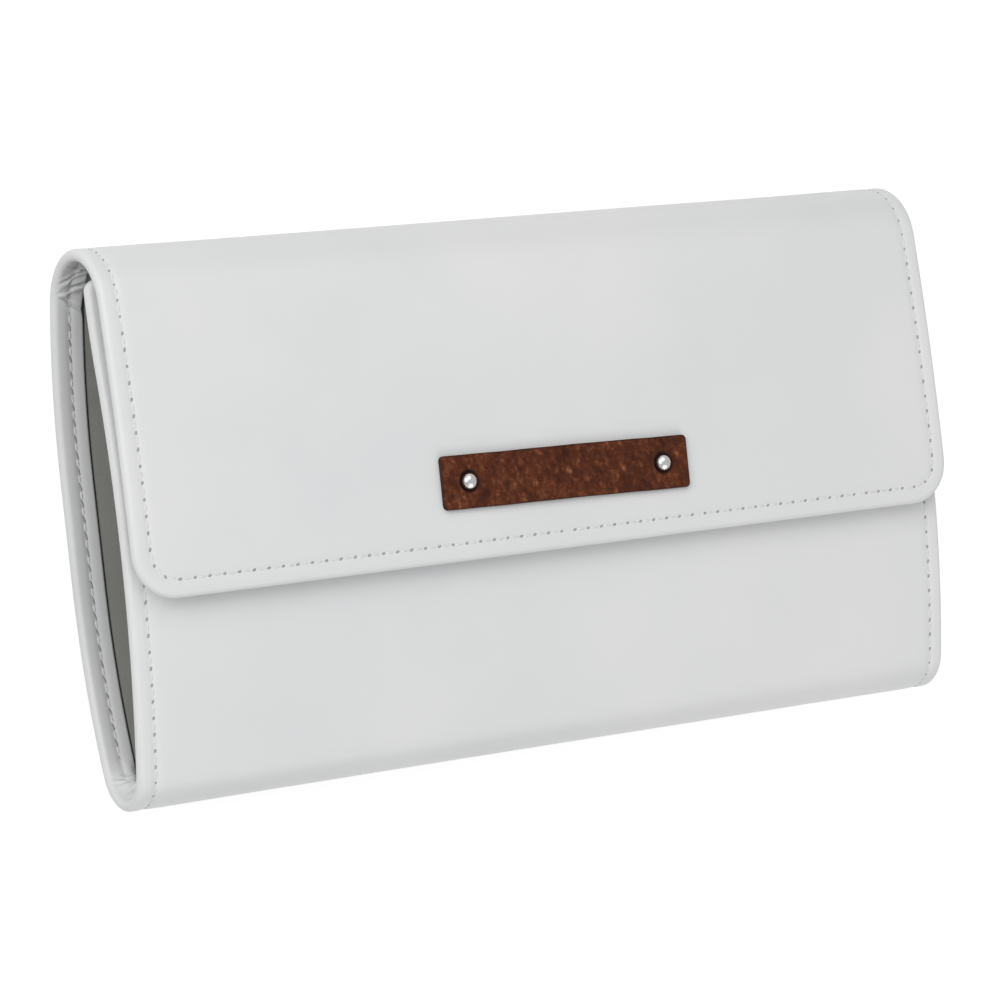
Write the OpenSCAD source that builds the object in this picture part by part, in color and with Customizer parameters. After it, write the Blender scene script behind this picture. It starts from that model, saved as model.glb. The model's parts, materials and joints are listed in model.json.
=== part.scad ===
// Tri-fold jewellery wallet, lying on its back: white leather panels over thin boards, a suede
// lining, a wide flap with a riveted label, two zipped pockets and a ring bar inside.
// X runs along the width, Y from the bottom fold to the top fold, Z from the back to the flap.

/* [Overall] */
// Width of the leather panels, end to end
body_w = 240; // [200:1:280]
// Length from the bottom fold to the top fold
body_l = 135; // [128:1:160]
// Distance from the bottom fold to the lower edge of the flap
flap_edge = 50; // [44:0.5:56]
// Distance from the top fold to the upper edge of the front panel
front_edge_gap = 8; // [8:0.5:12]

/* [Folds] */
// Outer radius of the bottom fold
nose_r = 10.8; // [10.3:0.1:11.1]
// Outer radius of the top fold
arch_r = 15; // [14.7:0.1:17]
// Radius of the upward bow at both ends of the back panel
bow_r = 180; // [165:1:190]
// Slope of the back panel where the bottom fold starts
low_slope = 15; // [13.5:0.5:15.5]
// Slope of the back panel where the top fold starts
high_slope = 14; // [13.5:0.5:16]
// Slope of the front panel where it leaves the bottom fold
front_slope = 10.5; // [9:0.5:11]
// Radius of the crown of the front panel
crown_r = 300; // [270:5:320]
// Slope of the front panel behind its crown
crown_fall = 8; // [7:0.5:9]
// Slope of the flap where it leaves the top fold
flap_slope = 5; // [4.5:0.5:5.5]
// Radius of the gentle crown of the flap
flap_r = 700; // [600:10:800]
// Gap between the panels and the folds where they turn
fold_gap = 0.4; // [0.3:0.05:0.6]

/* [Layers] */
// Thickness of the outer leather
skin_t = 1.1; // [0.9:0.1:1.4]
// Thickness of the board or foam between leather and lining
core_t = 0.9; // [0.6:0.1:1.2]
// Thickness of the lining and of the turned-in hem
lining_t = 1; // [0.8:0.1:1.2]
// Width of the leather turned in along the edges
hem_w = 8; // [6:0.5:10]
// Corner radius of the flap
flap_corner_r = 11; // [6:0.5:16]
// Corner radius of the front panel
front_corner_r = 3; // [2:0.5:9]
// Clearance between layers that lie on each other
layer_gap = 0.05; // [0.02:0.01:0.1]

/* [Label] */
// Length of the leather label
label_l = 72.5; // [64:0.5:84]
// Height of the leather label
label_h = 13.4; // [12:0.1:18]
// Thickness of the leather label
label_t = 1.3; // [1:0.1:1.5]
// Corner radius of the label
label_corner_r = 1.2; // [0.5:0.1:3]
// Distance from the flap's lower edge to the middle of the label
label_up = 19; // [16:0.5:26]
// Distance between the two label rivets
rivet_pitch = 57.4; // [46:0.1:60]
// Diameter of a rivet's dome
rivet_d = 4.2; // [3.6:0.1:5]
// Height of a rivet's dome
dome_h = 1.1; // [0.9:0.1:1.3]
// Diameter of a rivet's shank
shank_d = 2.2; // [1.8:0.1:2.6]
// Diameter of the burr behind a rivet
burr_d = 6; // [5:0.5:7]

/* [Magnetic snap] */
// Diameter of both halves of the snap
snap_d = 14; // [12:0.5:16]
// Thickness of the rim of each half
snap_t = 0.9; // [0.8:0.05:1]
// Distance from the flap's lower edge to the middle of the snap
snap_up = 13; // [11:0.5:16]
// Diameter of the stud in the middle of the snap
stud_d = 4; // [3:0.5:5]
// Height of the stud above its rim
stud_h = 0.6; // [0.6:0.1:1]
// Clearance around the stud
stud_gap = 0.9; // [0.8:0.1:1.2]
// Diameter of the washers that hold the snap
washer_d = 17; // [15.5:0.5:18]
// Thickness of the washers that hold the snap
washer_t = 0.5; // [0.4:0.05:0.5]

/* [Zipped pockets] */
// Distance from the bottom fold to the lower zip
low_zip_y = 58; // [56:0.5:62]
// Distance from the bottom fold to the upper zip
top_zip_y = 102; // [98:0.5:105]
// Distance from the bottom fold to the lower pocket's edge
pocket_start = 16; // [15:0.5:20]
// Distance from the bottom fold to the upper edge of the pocket strip
pocket_end = 116; // [113:0.5:118]
// Space left between each end of the pockets and the hem
pocket_inset = 10; // [8:0.5:12]
// Thickness of the pocket suede
pocket_t = 1; // [0.8:0.1:1.2]
// Height of the flat space inside a pocket
pocket_h = 0.6; // [0.4:0.1:0.9]
// Width of the seam along a pocket's edges
seam_w = 4; // [3:0.5:5]
// Visible width of a zip's tape
tape_w = 10; // [9:0.5:12]
// Thickness of a zip's tape
tape_t = 0.8; // [0.6:0.1:1]
// Width of a zip's chain
chain_w = 4.4; // [4:0.1:4.8]
// Height of a zip's chain
chain_h = 1.5; // [1.2:0.1:1.8]
// Space between the end of the chain and the end of the tape
chain_inset = 6; // [4:0.5:8]
// Length of a metal stop at the end of a chain
stop_l = 3; // [2:0.5:4]

/* [Zip sliders] */
// Length of a slider
slider_l = 9; // [8:0.5:11]
// Width of a slider
slider_w = 7.6; // [7.2:0.1:8.4]
// Thickness of a slider's top plate
slider_t = 1.1; // [0.9:0.1:1.3]
// Clearance between a slider and the chain
slider_gap = 0.35; // [0.3:0.05:0.45]
// Diameter of the pin that carries the pull
pull_pin_d = 1.2; // [1:0.1:1.4]
// Thickness of the lugs that hold the pin
lug_t = 1; // [0.8:0.1:1.2]
// Thickness of the pull
pull_t = 1; // [0.8:0.1:1.2]
// Length of the pull from its pin
pull_l = 12.5; // [11:0.5:13]
// Width of the pull
pull_w = 5; // [4:0.5:6]
// Width of the pull's eye
eye_w = 2.6; // [2.2:0.1:3]

/* [Ring bar] */
// Distance from the bottom fold to the middle of the ring bar
bar_y = 28.5; // [28:0.5:31]
// Diameter of the padded roll
roll_d = 13.6; // [12:0.1:14.5]
// Distance from each end of the ring bar's roll to the side of the wallet
bar_inset = 54; // [45:1:65]
// Radius of the rounded ends of the roll
roll_end_r = 3; // [2:0.5:4]
// Width of the strap that the roll is sewn to
strap_w = 12; // [10:0.5:13]
// Thickness of the strap
strap_t = 1.2; // [1:0.1:1.4]
// Length of the strap beyond each end of the roll
strap_reach = 18; // [16:0.5:22]
// Height of the top of the strap
strap_z = 25; // [24.6:0.1:25.2]
// Diameter of the strap's rivet
bar_rivet_d = 3; // [2.5:0.1:3.5]
// Diameter of the head of the strap's rivet
bar_head_d = 7; // [6:0.5:8]
// Diameter of the magnet in the loose end of the strap
magnet_d = 8; // [7:0.5:9]
// Thickness of that magnet
magnet_t = 1.4; // [1:0.1:1.6]

/* [Earring strip] */
// Distance from the bottom fold to the lower edge of the earring strip
strip_start = 94; // [93:0.5:96]
// Distance from the bottom fold to the upper edge of the earring strip
strip_end = 116; // [112:0.5:117]
// Length of the earring strip
strip_l = 196; // [150:1:200]
// Thickness of the earring strip
strip_t = 1.1; // [0.8:0.1:1.3]
// Diameter of the holes for earring posts
post_hole_d = 1.6; // [1.2:0.1:2]
// Distance between neighbouring post holes
post_pitch = 14; // [12:0.5:18]

/* [Hidden] */
$fn = 64;

// Half a turn is shared by two hinge lines, so each fold body spans a quarter turn.
quarter = 90;
half_quarter = quarter / 2;
down = 270;
up = 90;
arc_steps = 9;
bow_steps = 8;
wall_t = skin_t + core_t + lining_t;
y0 = -body_l / 2;
cut = 1;
tall = 100;

// Centres of the two folds and of the bows of the back panel
nose_c = [y0 + nose_r, bow_r * (1 - cos(low_slope)) + nose_r * cos(low_slope)];
arch_c = [y0 + body_l - arch_r, bow_r * (1 - cos(high_slope)) + arch_r * cos(high_slope)];
low_bow_c = [nose_c[0] + (bow_r - nose_r) * sin(low_slope), bow_r];
high_bow_c = [arch_c[0] - (bow_r - arch_r) * sin(high_slope), bow_r];

// Centres of the crowns of the front panel and of the flap
crown_c = spot(nose_c, nose_r - crown_r, up + front_slope);
dip_start = spot(crown_c, crown_r, up - crown_fall);
front_end = y0 + body_l - front_edge_gap;
dip_r = (front_end + cut - dip_start[0]) / sin(crown_fall);
dip_c = spot(dip_start, dip_r, up - crown_fall);
flap_c = spot(arch_c, arch_r - flap_r, up - flap_slope);
flap_end = y0 + flap_edge;
flap_over = asin((flap_c[0] - flap_end + cut) / flap_r);

// Half the gap of each fold line, as an angle seen from the fold's centre
nose_trim = fold_gap / 2 / nose_r * 180 / PI;
arch_trim = fold_gap / 2 / arch_r * 180 / PI;

lining_inset = hem_w + layer_gap;
pocket_w = body_w - 2 * (hem_w + pocket_inset);
tape_top_d = wall_t + pocket_h + pocket_t;
chain_l = pocket_w - 2 * chain_inset;
chain_top_d = tape_top_d + layer_gap + chain_h;
slider_top_d = chain_top_d + slider_gap + slider_t;
eye_wall = 0.8;
eye_r = pull_pin_d / 2 + slider_gap / 2 + eye_wall;
pin_d_up = slider_top_d + slider_gap + eye_r;
slider_x = chain_l / 2 - stop_l - slider_gap - slider_l / 2;
pull_reach = pull_l - pull_w / 2;
pull_droop = asin((pin_d_up - pull_t / 2 - chain_top_d - slider_gap) / pull_l);

label_y = flap_end + label_up;
snap_y = flap_end + snap_up;
roll_l = body_w - 2 * bar_inset;
bar_c = [0, y0 + bar_y];
// Half of the roll's flat top, as a share of the strap's width
flat_share = 0.35;
bar_pivot_x = -(roll_l / 2 + strap_reach - strap_w / 2);
strap_bottom = strap_z - strap_t;
roll_z = strap_bottom - roll_d / 2 + roll_flat();
head_t = strap_t;

// A point at angle a and distance r from a centre, in the Y-Z plane
function spot(c, r, a) = [c[0] + r * cos(a), c[1] + r * sin(a)];
// An arc from angle a to angle b, without its first point when it continues a line
function arc(c, r, a, b, n, first = 0) = [for (i = [first:n]) spot(c, r, a + (b - a) * i / n)];
function reversed(list) = [for (i = [len(list) - 1:-1:0]) list[i]];
// How far the flat top of the roll lies below its full round
function roll_flat() = roll_d / 2 - sqrt(pow(roll_d / 2, 2) - pow(strap_w * flat_share, 2));

// Outlines of the panels at depth d below the outer leather surface
function back_line(d) = concat(
    arc(nose_c, nose_r - d, down - half_quarter + nose_trim, down - low_slope, arc_steps),
    arc(low_bow_c, bow_r - d, down - low_slope, down, bow_steps, 1),
    arc(high_bow_c, bow_r - d, down, down + high_slope, bow_steps),
    arc(arch_c, arch_r - d, down + high_slope, down + half_quarter - arch_trim, arc_steps, 1));
function top_line(d) =
    arc(arch_c, arch_r - d, -half_quarter + arch_trim, half_quarter - arch_trim, 2 * arc_steps);
function bottom_line(d) =
    arc(nose_c, nose_r - d, 2 * quarter - half_quarter + nose_trim,
        2 * quarter + half_quarter - nose_trim, 2 * arc_steps);
function flap_line(d) = concat(
    arc(arch_c, arch_r - d, half_quarter + arch_trim, up - flap_slope, arc_steps),
    arc(flap_c, flap_r - d, up - flap_slope, up + flap_over, bow_steps, 1));
function front_line(d) = concat(
    arc(nose_c, nose_r - d, up + half_quarter - nose_trim, up + front_slope, arc_steps),
    arc(crown_c, crown_r - d, up + front_slope, up - crown_fall, 2 * bow_steps, 1),
    arc(dip_c, dip_r + d, -up - crown_fall, -up, bow_steps, 1));

// Heights in the cavity: the back panel at depth d, and the underside of the front panel
function circle_z(c, r, y) = c[1] - sqrt(r * r - pow(y - c[0], 2));
function back_z(y, d) = y < low_bow_c[0] ? circle_z(low_bow_c, bow_r - d, y)
    : y > high_bow_c[0] ? circle_z(high_bow_c, bow_r - d, y) : d;
function front_z(y, d) = y < dip_start[0] ? crown_c[1] + sqrt(pow(crown_r - d, 2) - pow(y - crown_c[0], 2))
    : circle_z(dip_c, dip_r + d, y);
function back_tilt(y) = y < low_bow_c[0] ? asin((y - low_bow_c[0]) / (bow_r - wall_t))
    : y > high_bow_c[0] ? asin((y - high_bow_c[0]) / (bow_r - wall_t)) : 0;

// Draws a Y-Z outline across the width w
module across(w) {
    rotate([90, 0, 90]) linear_extrude(w, center = true) children();
}

// A layer between two outlines of the same panel
module layer(outer, inner, w) {
    across(w) polygon(concat(outer, reversed(inner)));
}

// Plan outline with two rounded corners at its lower edge, or at its upper edge when turned
module tab(w, low, high, r) {
    translate([-w / 2, low + r]) square([w, high - low - r]);
    translate([-w / 2 + r, low]) square([w - 2 * r, r + cut]);
    for (side = [-1, 1]) translate([side * (w / 2 - r), low + r]) circle(r);
}

module flap_prism(inset) {
    r = max(flap_corner_r - inset, 1);
    linear_extrude(tall) tab(body_w - 2 * inset, flap_end + inset, -y0 + cut, r);
}

module front_prism(inset) {
    r = max(front_corner_r - inset, 1);
    linear_extrude(tall) mirror([0, 1]) tab(body_w - 2 * inset, inset - front_end, -y0 + cut, r);
}

module flap_layer(from, to, inset) {
    intersection() {
        layer(flap_line(from), flap_line(to), body_w + cut);
        flap_prism(inset);
    }
}

module front_layer(from, to, inset) {
    intersection() {
        layer(front_line(from), front_line(to), body_w + cut);
        front_prism(inset);
    }
}

// Strip in the Y-Z plane that follows the back panel between two depths
module back_strip(from_y, to_y, from_d, to_d, w) {
    low = [for (i = [0:bow_steps]) from_y + (to_y - from_y) * i / bow_steps];
    layer([for (y = low) [y, back_z(y, from_d)]], [for (y = low) [y, back_z(y, to_d)]], w);
}

// Places children on the back panel at y, with z counted from the outer leather
module on_back(y) {
    tilt = back_tilt(y);
    if (tilt == 0) translate([0, y, 0]) children();
    if (tilt < 0) translate([0, low_bow_c[0], bow_r]) rotate([tilt, 0, 0])
        translate([0, 0, -bow_r]) children();
    if (tilt > 0) translate([0, high_bow_c[0], bow_r]) rotate([tilt, 0, 0])
        translate([0, 0, -bow_r]) children();
}

// Places children on the flap at y, with z counted outward from the outer leather
module on_flap(y) {
    translate([0, flap_c[0], flap_c[1]]) rotate([asin((flap_c[0] - y) / flap_r), 0, 0])
        translate([0, 0, flap_r]) children();
}

// Places children on the front panel at y, with z counted outward from the outer leather
module on_front(y) {
    translate([0, crown_c[0], crown_c[1]]) rotate([asin((crown_c[0] - y) / crown_r), 0, 0])
        translate([0, 0, crown_r]) children();
}

// The space below the lining of the front panel
module below_front() {
    ys = [for (i = [0:2 * bow_steps]) y0 + nose_r + (front_end - y0 - nose_r) * i / 2 / bow_steps];
    across(body_w) polygon(concat([for (y = ys) [y, front_z(y, wall_t + layer_gap)]],
        [[front_end, roll_z], [y0 + nose_r, roll_z]]));
}

// Back panel
module back_leather() color("white") difference() {
    layer(back_line(0), back_line(wall_t), body_w);
    layer(back_line(skin_t), back_line(wall_t - lining_t), body_w - 2 * skin_t);
    layer(back_line(wall_t - lining_t), back_line(wall_t + cut), body_w - 2 * hem_w);
}

module back_board() color("tan")
    layer(back_line(skin_t + layer_gap), back_line(wall_t - lining_t - layer_gap),
        body_w - 2 * (skin_t + layer_gap));

module back_lining() color("dimgray")
    layer(back_line(wall_t - lining_t), back_line(wall_t), body_w - 2 * lining_inset);

// Flat pocket panel of suede, hollow between its seams
module pocket(from_y, to_y, seam_low, seam_high) {
    difference() {
        back_strip(from_y, to_y, wall_t + layer_gap, wall_t + pocket_h + pocket_t, pocket_w);
        back_strip(from_y + seam_low, to_y - seam_high, wall_t, wall_t + pocket_h,
            pocket_w - 2 * seam_w);
    }
}

module pocket_low() color("gray")
    pocket(y0 + pocket_start, y0 + low_zip_y - tape_w / 2, seam_w, -cut);

module pocket_mid() color("gray")
    pocket(y0 + low_zip_y + tape_w / 2, y0 + top_zip_y - tape_w / 2, seam_w, -cut);

module pocket_top() color("gray")
    pocket(y0 + top_zip_y + tape_w / 2, y0 + pocket_end, seam_w, seam_w);

// Zips, drawn on the back panel at their own place
module tape() {
    w = tape_w - 2 * slider_gap;
    translate([-pocket_w / 2, -w / 2, tape_top_d - tape_t]) cube([pocket_w, w, tape_t]);
}

module chain() {
    slope = chain_h / 2;
    translate([0, 0, tape_top_d + layer_gap]) across(chain_l) polygon([
        [-chain_w / 2, 0],
        [-chain_w / 2, chain_h - slope],
        [-chain_w / 2 + slope, chain_h],
        [chain_w / 2 - slope, chain_h],
        [chain_w / 2, chain_h - slope],
        [chain_w / 2, 0]]);
}

module stops() {
    for (side = [-1, 1])
        translate([side * (chain_l + stop_l + 2 * layer_gap) / 2, 0, tape_top_d + layer_gap])
            translate([-stop_l / 2, -chain_w / 2, 0]) cube([stop_l, chain_w, chain_h]);
}

module slider() {
    base = tape_top_d + slider_gap;
    translate([slider_x, 0, 0]) {
        difference() {
            translate([-slider_l / 2, -slider_w / 2, base])
                cube([slider_l, slider_w, slider_top_d - base]);
            translate([-slider_l / 2 - cut, -chain_w / 2 - slider_gap, base - cut])
                cube([slider_l + 2 * cut, chain_w + 2 * slider_gap, chain_top_d + slider_gap - base + cut]);
        }
        for (side = [-1, 1]) lug(side * (eye_w / 2 + slider_gap + lug_t / 2));
        translate([0, 0, pin_d_up]) rotate([90, 0, 0])
            cylinder(h = eye_w + 2 * slider_gap + lug_t, d = pull_pin_d, center = true);
    }
}

// One of the two ears that hold the pull's pin
module lug(y) {
    rise = pin_d_up - slider_top_d;
    translate([0, y, pin_d_up]) rotate([90, 0, 0]) cylinder(h = lug_t, r = pull_pin_d, center = true);
    translate([-pull_pin_d, y - lug_t / 2, slider_top_d - cut / 2])
        cube([2 * pull_pin_d, lug_t, rise + cut / 2]);
}

module pull() {
    translate([slider_x, 0, pin_d_up]) rotate([0, -pull_droop, 0]) difference() {
        union() {
            rotate([90, 0, 0]) cylinder(h = eye_w, r = eye_r, center = true);
            translate([-pull_reach, -eye_w / 2, -pull_t / 2]) cube([pull_reach, eye_w, pull_t]);
            translate([-pull_reach, -pull_w / 2, -pull_t / 2])
                cube([pull_reach - slider_l / 2 - pull_w / 2, pull_w, pull_t]);
            translate([-pull_reach, 0, -pull_t / 2]) cylinder(h = pull_t, d = pull_w);
        }
        rotate([90, 0, 0])
            cylinder(h = eye_w + cut, r = pull_pin_d / 2 + slider_gap / 2, center = true);
    }
}

module tape_low() color("darkgray") on_back(y0 + low_zip_y) tape();
module chain_low() color("silver") on_back(y0 + low_zip_y) chain();
module stops_low() color("silver") on_back(y0 + low_zip_y) stops();
module slider_low() color("silver") on_back(y0 + low_zip_y) slider();
module pull_low() color("silver") on_back(y0 + low_zip_y) pull();
module tape_top() color("darkgray") on_back(y0 + top_zip_y) tape();
module chain_top() color("silver") on_back(y0 + top_zip_y) chain();
module stops_top() color("silver") on_back(y0 + top_zip_y) stops();
module slider_top() color("silver") on_back(y0 + top_zip_y) slider();
module pull_top() color("silver") on_back(y0 + top_zip_y) pull();

// Top fold
module top_leather() color("white") difference() {
    layer(top_line(0), top_line(wall_t), body_w);
    layer(top_line(skin_t), top_line(wall_t - lining_t), body_w - 2 * skin_t);
    layer(top_line(wall_t - lining_t), top_line(wall_t + cut), body_w - 2 * hem_w);
}

module top_core() color("tan")
    layer(top_line(skin_t + layer_gap), top_line(wall_t - lining_t - layer_gap),
        body_w - 2 * (skin_t + layer_gap));

module top_lining() color("dimgray")
    layer(top_line(wall_t - lining_t), top_line(wall_t), body_w - 2 * lining_inset);

// Bottom fold
module bottom_leather() color("white") difference() {
    layer(bottom_line(0), bottom_line(wall_t), body_w);
    layer(bottom_line(skin_t), bottom_line(wall_t - lining_t), body_w - 2 * skin_t);
    layer(bottom_line(wall_t - lining_t), bottom_line(wall_t + cut), body_w - 2 * hem_w);
}

module bottom_core() color("tan")
    layer(bottom_line(skin_t + layer_gap), bottom_line(wall_t - lining_t - layer_gap),
        body_w - 2 * (skin_t + layer_gap));

module bottom_lining() color("dimgray")
    layer(bottom_line(wall_t - lining_t), bottom_line(wall_t), body_w - 2 * lining_inset);

// Flap, with the holes of the label's rivets and of the snap
module flap_leather() color("white") difference() {
    flap_layer(0, wall_t, 0);
    flap_layer(skin_t, wall_t - lining_t, skin_t);
    flap_layer(wall_t - lining_t, wall_t + cut, hem_w);
    rivet_holes(shank_d + 2 * layer_gap);
}

module flap_foam() color("tan") difference() {
    flap_layer(skin_t + layer_gap, wall_t - lining_t - layer_gap, skin_t + layer_gap);
    rivet_holes(burr_d + 2 * layer_gap);
    on_flap(snap_y) translate([0, 0, -wall_t]) cylinder(h = wall_t, d = washer_d + 2 * layer_gap);
}

module flap_lining() color("dimgray")
    flap_layer(wall_t - lining_t, wall_t, lining_inset);

module rivet_holes(d) {
    for (side = [-1, 1]) on_flap(label_y) translate([side * rivet_pitch / 2, 0, -wall_t + lining_t])
        cylinder(h = tall / 2, d = d);
}

module label() color("saddlebrown") difference() {
    on_flap(label_y) translate([0, 0, 2 * layer_gap]) linear_extrude(label_t) label_outline();
    rivet_holes(shank_d + 2 * layer_gap);
}

module label_outline() {
    r = label_corner_r;
    translate([-label_l / 2 + r, -label_h / 2]) square([label_l - 2 * r, label_h]);
    translate([-label_l / 2, -label_h / 2 + r]) square([label_l, label_h - 2 * r]);
    for (x = [-1, 1]) for (y = [-1, 1])
        translate([x * (label_l / 2 - r), y * (label_h / 2 - r)]) circle(r);
}

// Dome-headed rivet through the label and the outer leather
module rivet(x) {
    foot = 2 * layer_gap + label_t + layer_gap;
    ball_r = (pow(rivet_d / 2, 2) + pow(dome_h, 2)) / 2 / dome_h;
    on_flap(label_y) translate([x, 0, foot]) {
        intersection() {
            translate([0, 0, dome_h - ball_r]) sphere(ball_r);
            cylinder(h = dome_h + cut, d = rivet_d + cut);
        }
        translate([0, 0, -foot - skin_t]) cylinder(h = foot + skin_t + dome_h / 2, d = shank_d);
    }
}

module rivet_left() color("silver") rivet(-rivet_pitch / 2);
module rivet_right() color("silver") rivet(rivet_pitch / 2);

// Burrs that clamp the rivets behind the outer leather
module burrs() color("silver")
    for (side = [-1, 1]) on_flap(label_y)
        translate([side * rivet_pitch / 2, 0, -skin_t - core_t + 2 * layer_gap])
            cylinder(h = core_t - 4 * layer_gap, d = burr_d);

// Magnetic snap: ring on the flap's lining, stud on the front panel
module snap_socket() color("silver") on_flap(snap_y) translate([0, 0, -wall_t - layer_gap])
    difference() {
        translate([0, 0, -snap_t]) cylinder(h = snap_t, d = snap_d);
        translate([0, 0, -snap_t - cut]) cylinder(h = snap_t + 2 * cut, d = stud_d + 2 * stud_gap);
    }

module socket_washer() color("silver") on_flap(snap_y)
    translate([0, 0, -skin_t - core_t / 2 - washer_t / 2]) cylinder(h = washer_t, d = washer_d);

module snap_stud() color("silver") on_front(snap_y) translate([0, 0, 2 * layer_gap]) {
    cylinder(h = snap_t / 2, d = snap_d);
    cylinder(h = snap_t / 2 + stud_h, d = stud_d);
}

module stud_washer() color("silver") on_front(snap_y)
    translate([0, 0, -skin_t - core_t / 2 - washer_t / 2]) cylinder(h = washer_t, d = washer_d);

// Front panel
module front_leather() color("white") difference() {
    front_layer(0, wall_t, 0);
    front_layer(skin_t, wall_t - lining_t, skin_t);
    front_layer(wall_t - lining_t, wall_t + cut, hem_w);
}

module front_board() color("tan") difference() {
    front_layer(skin_t + layer_gap, wall_t - lining_t - layer_gap, skin_t + layer_gap);
    on_front(snap_y) translate([0, 0, -wall_t]) cylinder(h = wall_t, d = washer_d + 2 * layer_gap);
}

module front_lining() color("dimgray")
    front_layer(wall_t - lining_t, wall_t, lining_inset);

// Leather strip with holes for earring posts, under the front panel
module earring_strip() color("gray") difference() {
    ys = [for (i = [0:bow_steps]) y0 + strip_start + (strip_end - strip_start) * i / bow_steps];
    layer([for (y = ys) [y, front_z(y, wall_t + layer_gap)]],
        [for (y = ys) [y, front_z(y, wall_t + layer_gap + strip_t)]], strip_l);
    posts = floor((strip_l - 2 * post_pitch) / post_pitch / 2);
    for (i = [-posts:posts]) for (row = [1, 2])
        translate([i * post_pitch, y0 + strip_start + (strip_end - strip_start) * row / 3, 0])
            cylinder(h = tall, d = post_hole_d);
}

// Ring bar: its anchor, rivet and keeper stay on the front panel
module bar_anchor() color("dimgray") intersection() {
    translate([bar_pivot_x, bar_c[1], strap_z + slider_gap]) difference() {
        cylinder(h = tall, d = strap_w);
        translate([0, 0, -cut]) cylinder(h = tall + 2 * cut, d = bar_rivet_d + 2 * layer_gap);
    }
    below_front();
}

module bar_rivet() color("silver") intersection() {
    translate([bar_pivot_x, bar_c[1], strap_bottom - slider_gap - head_t]) {
        cylinder(h = head_t, d = bar_head_d);
        cylinder(h = tall, d = bar_rivet_d);
    }
    below_front();
}

module bar_keeper() color("silver") intersection() {
    translate([-bar_pivot_x, bar_c[1], strap_z + slider_gap]) cylinder(h = tall, d = magnet_d);
    below_front();
}

// Ring bar: the padded roll on its strap, with a magnet in the loose end
module bar_roll() color("gray") {
    intersection() {
        translate([0, bar_c[1], roll_z]) rotate([0, 90, 0]) rotate_extrude() roll_half();
        translate([-roll_l / 2 - cut, bar_c[1] - roll_d, 0])
            cube([roll_l + 2 * cut, 2 * roll_d, strap_bottom - layer_gap]);
    }
}

module roll_half() {
    r = roll_end_r;
    for (side = [-1, 1]) translate([roll_d / 2 - r, side * (roll_l / 2 - r)]) intersection() {
        circle(r);
        translate([0, -r]) square([r, 2 * r]);
    }
    translate([0, -roll_l / 2]) square([roll_d / 2 - r, roll_l]);
    translate([0, -roll_l / 2 + r]) square([roll_d / 2, roll_l - 2 * r]);
}

module bar_strap() color("dimgray") {
    reach = -bar_pivot_x;
    translate([0, bar_c[1], strap_bottom]) difference() {
        union() {
            translate([-reach, -strap_w / 2, 0]) cube([2 * reach, strap_w, strap_t]);
            for (side = [-1, 1]) translate([side * reach, 0, 0]) cylinder(h = strap_t, d = strap_w);
        }
        translate([-reach, 0, -cut])
            cylinder(h = strap_t + 2 * cut, d = bar_rivet_d + slider_gap);
    }
}

module bar_magnet() color("silver")
    translate([-bar_pivot_x, bar_c[1], strap_bottom - layer_gap - magnet_t])
        cylinder(h = magnet_t, d = magnet_d);

back_leather();
back_board();
back_lining();
pocket_low();
pocket_mid();
pocket_top();
tape_low();
chain_low();
stops_low();
tape_top();
chain_top();
stops_top();
slider_low();
pull_low();
slider_top();
pull_top();
top_leather();
top_core();
top_lining();
flap_leather();
flap_foam();
flap_lining();
label();
rivet_left();
rivet_right();
burrs();
snap_socket();
socket_washer();
bottom_leather();
bottom_core();
bottom_lining();
front_leather();
front_board();
front_lining();
snap_stud();
stud_washer();
earring_strip();
bar_anchor();
bar_rivet();
bar_keeper();
bar_roll();
bar_strap();
bar_magnet();
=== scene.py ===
import json
import math
import bmesh
import bpy
import numpy as np
from mathutils import Matrix, Vector

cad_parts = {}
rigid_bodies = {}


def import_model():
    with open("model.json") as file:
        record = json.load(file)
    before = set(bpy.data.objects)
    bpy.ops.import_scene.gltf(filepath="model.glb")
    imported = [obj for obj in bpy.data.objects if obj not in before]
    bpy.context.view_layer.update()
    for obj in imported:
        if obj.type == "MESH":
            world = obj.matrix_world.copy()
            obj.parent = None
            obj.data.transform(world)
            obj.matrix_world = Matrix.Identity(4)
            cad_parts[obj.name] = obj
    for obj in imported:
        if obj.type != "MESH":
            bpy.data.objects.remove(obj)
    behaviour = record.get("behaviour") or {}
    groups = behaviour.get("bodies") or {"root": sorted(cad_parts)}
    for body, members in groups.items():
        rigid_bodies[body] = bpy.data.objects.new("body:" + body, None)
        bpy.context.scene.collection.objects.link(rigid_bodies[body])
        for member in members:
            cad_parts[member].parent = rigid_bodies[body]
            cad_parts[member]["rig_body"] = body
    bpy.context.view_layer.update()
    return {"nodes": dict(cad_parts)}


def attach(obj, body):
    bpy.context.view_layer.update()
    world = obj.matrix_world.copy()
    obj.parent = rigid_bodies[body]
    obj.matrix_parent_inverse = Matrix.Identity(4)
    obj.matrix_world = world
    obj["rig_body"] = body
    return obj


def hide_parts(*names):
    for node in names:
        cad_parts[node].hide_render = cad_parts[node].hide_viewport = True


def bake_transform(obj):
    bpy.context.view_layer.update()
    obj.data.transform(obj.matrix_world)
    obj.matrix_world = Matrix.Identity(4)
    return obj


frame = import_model()
MM = 0.001

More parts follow.
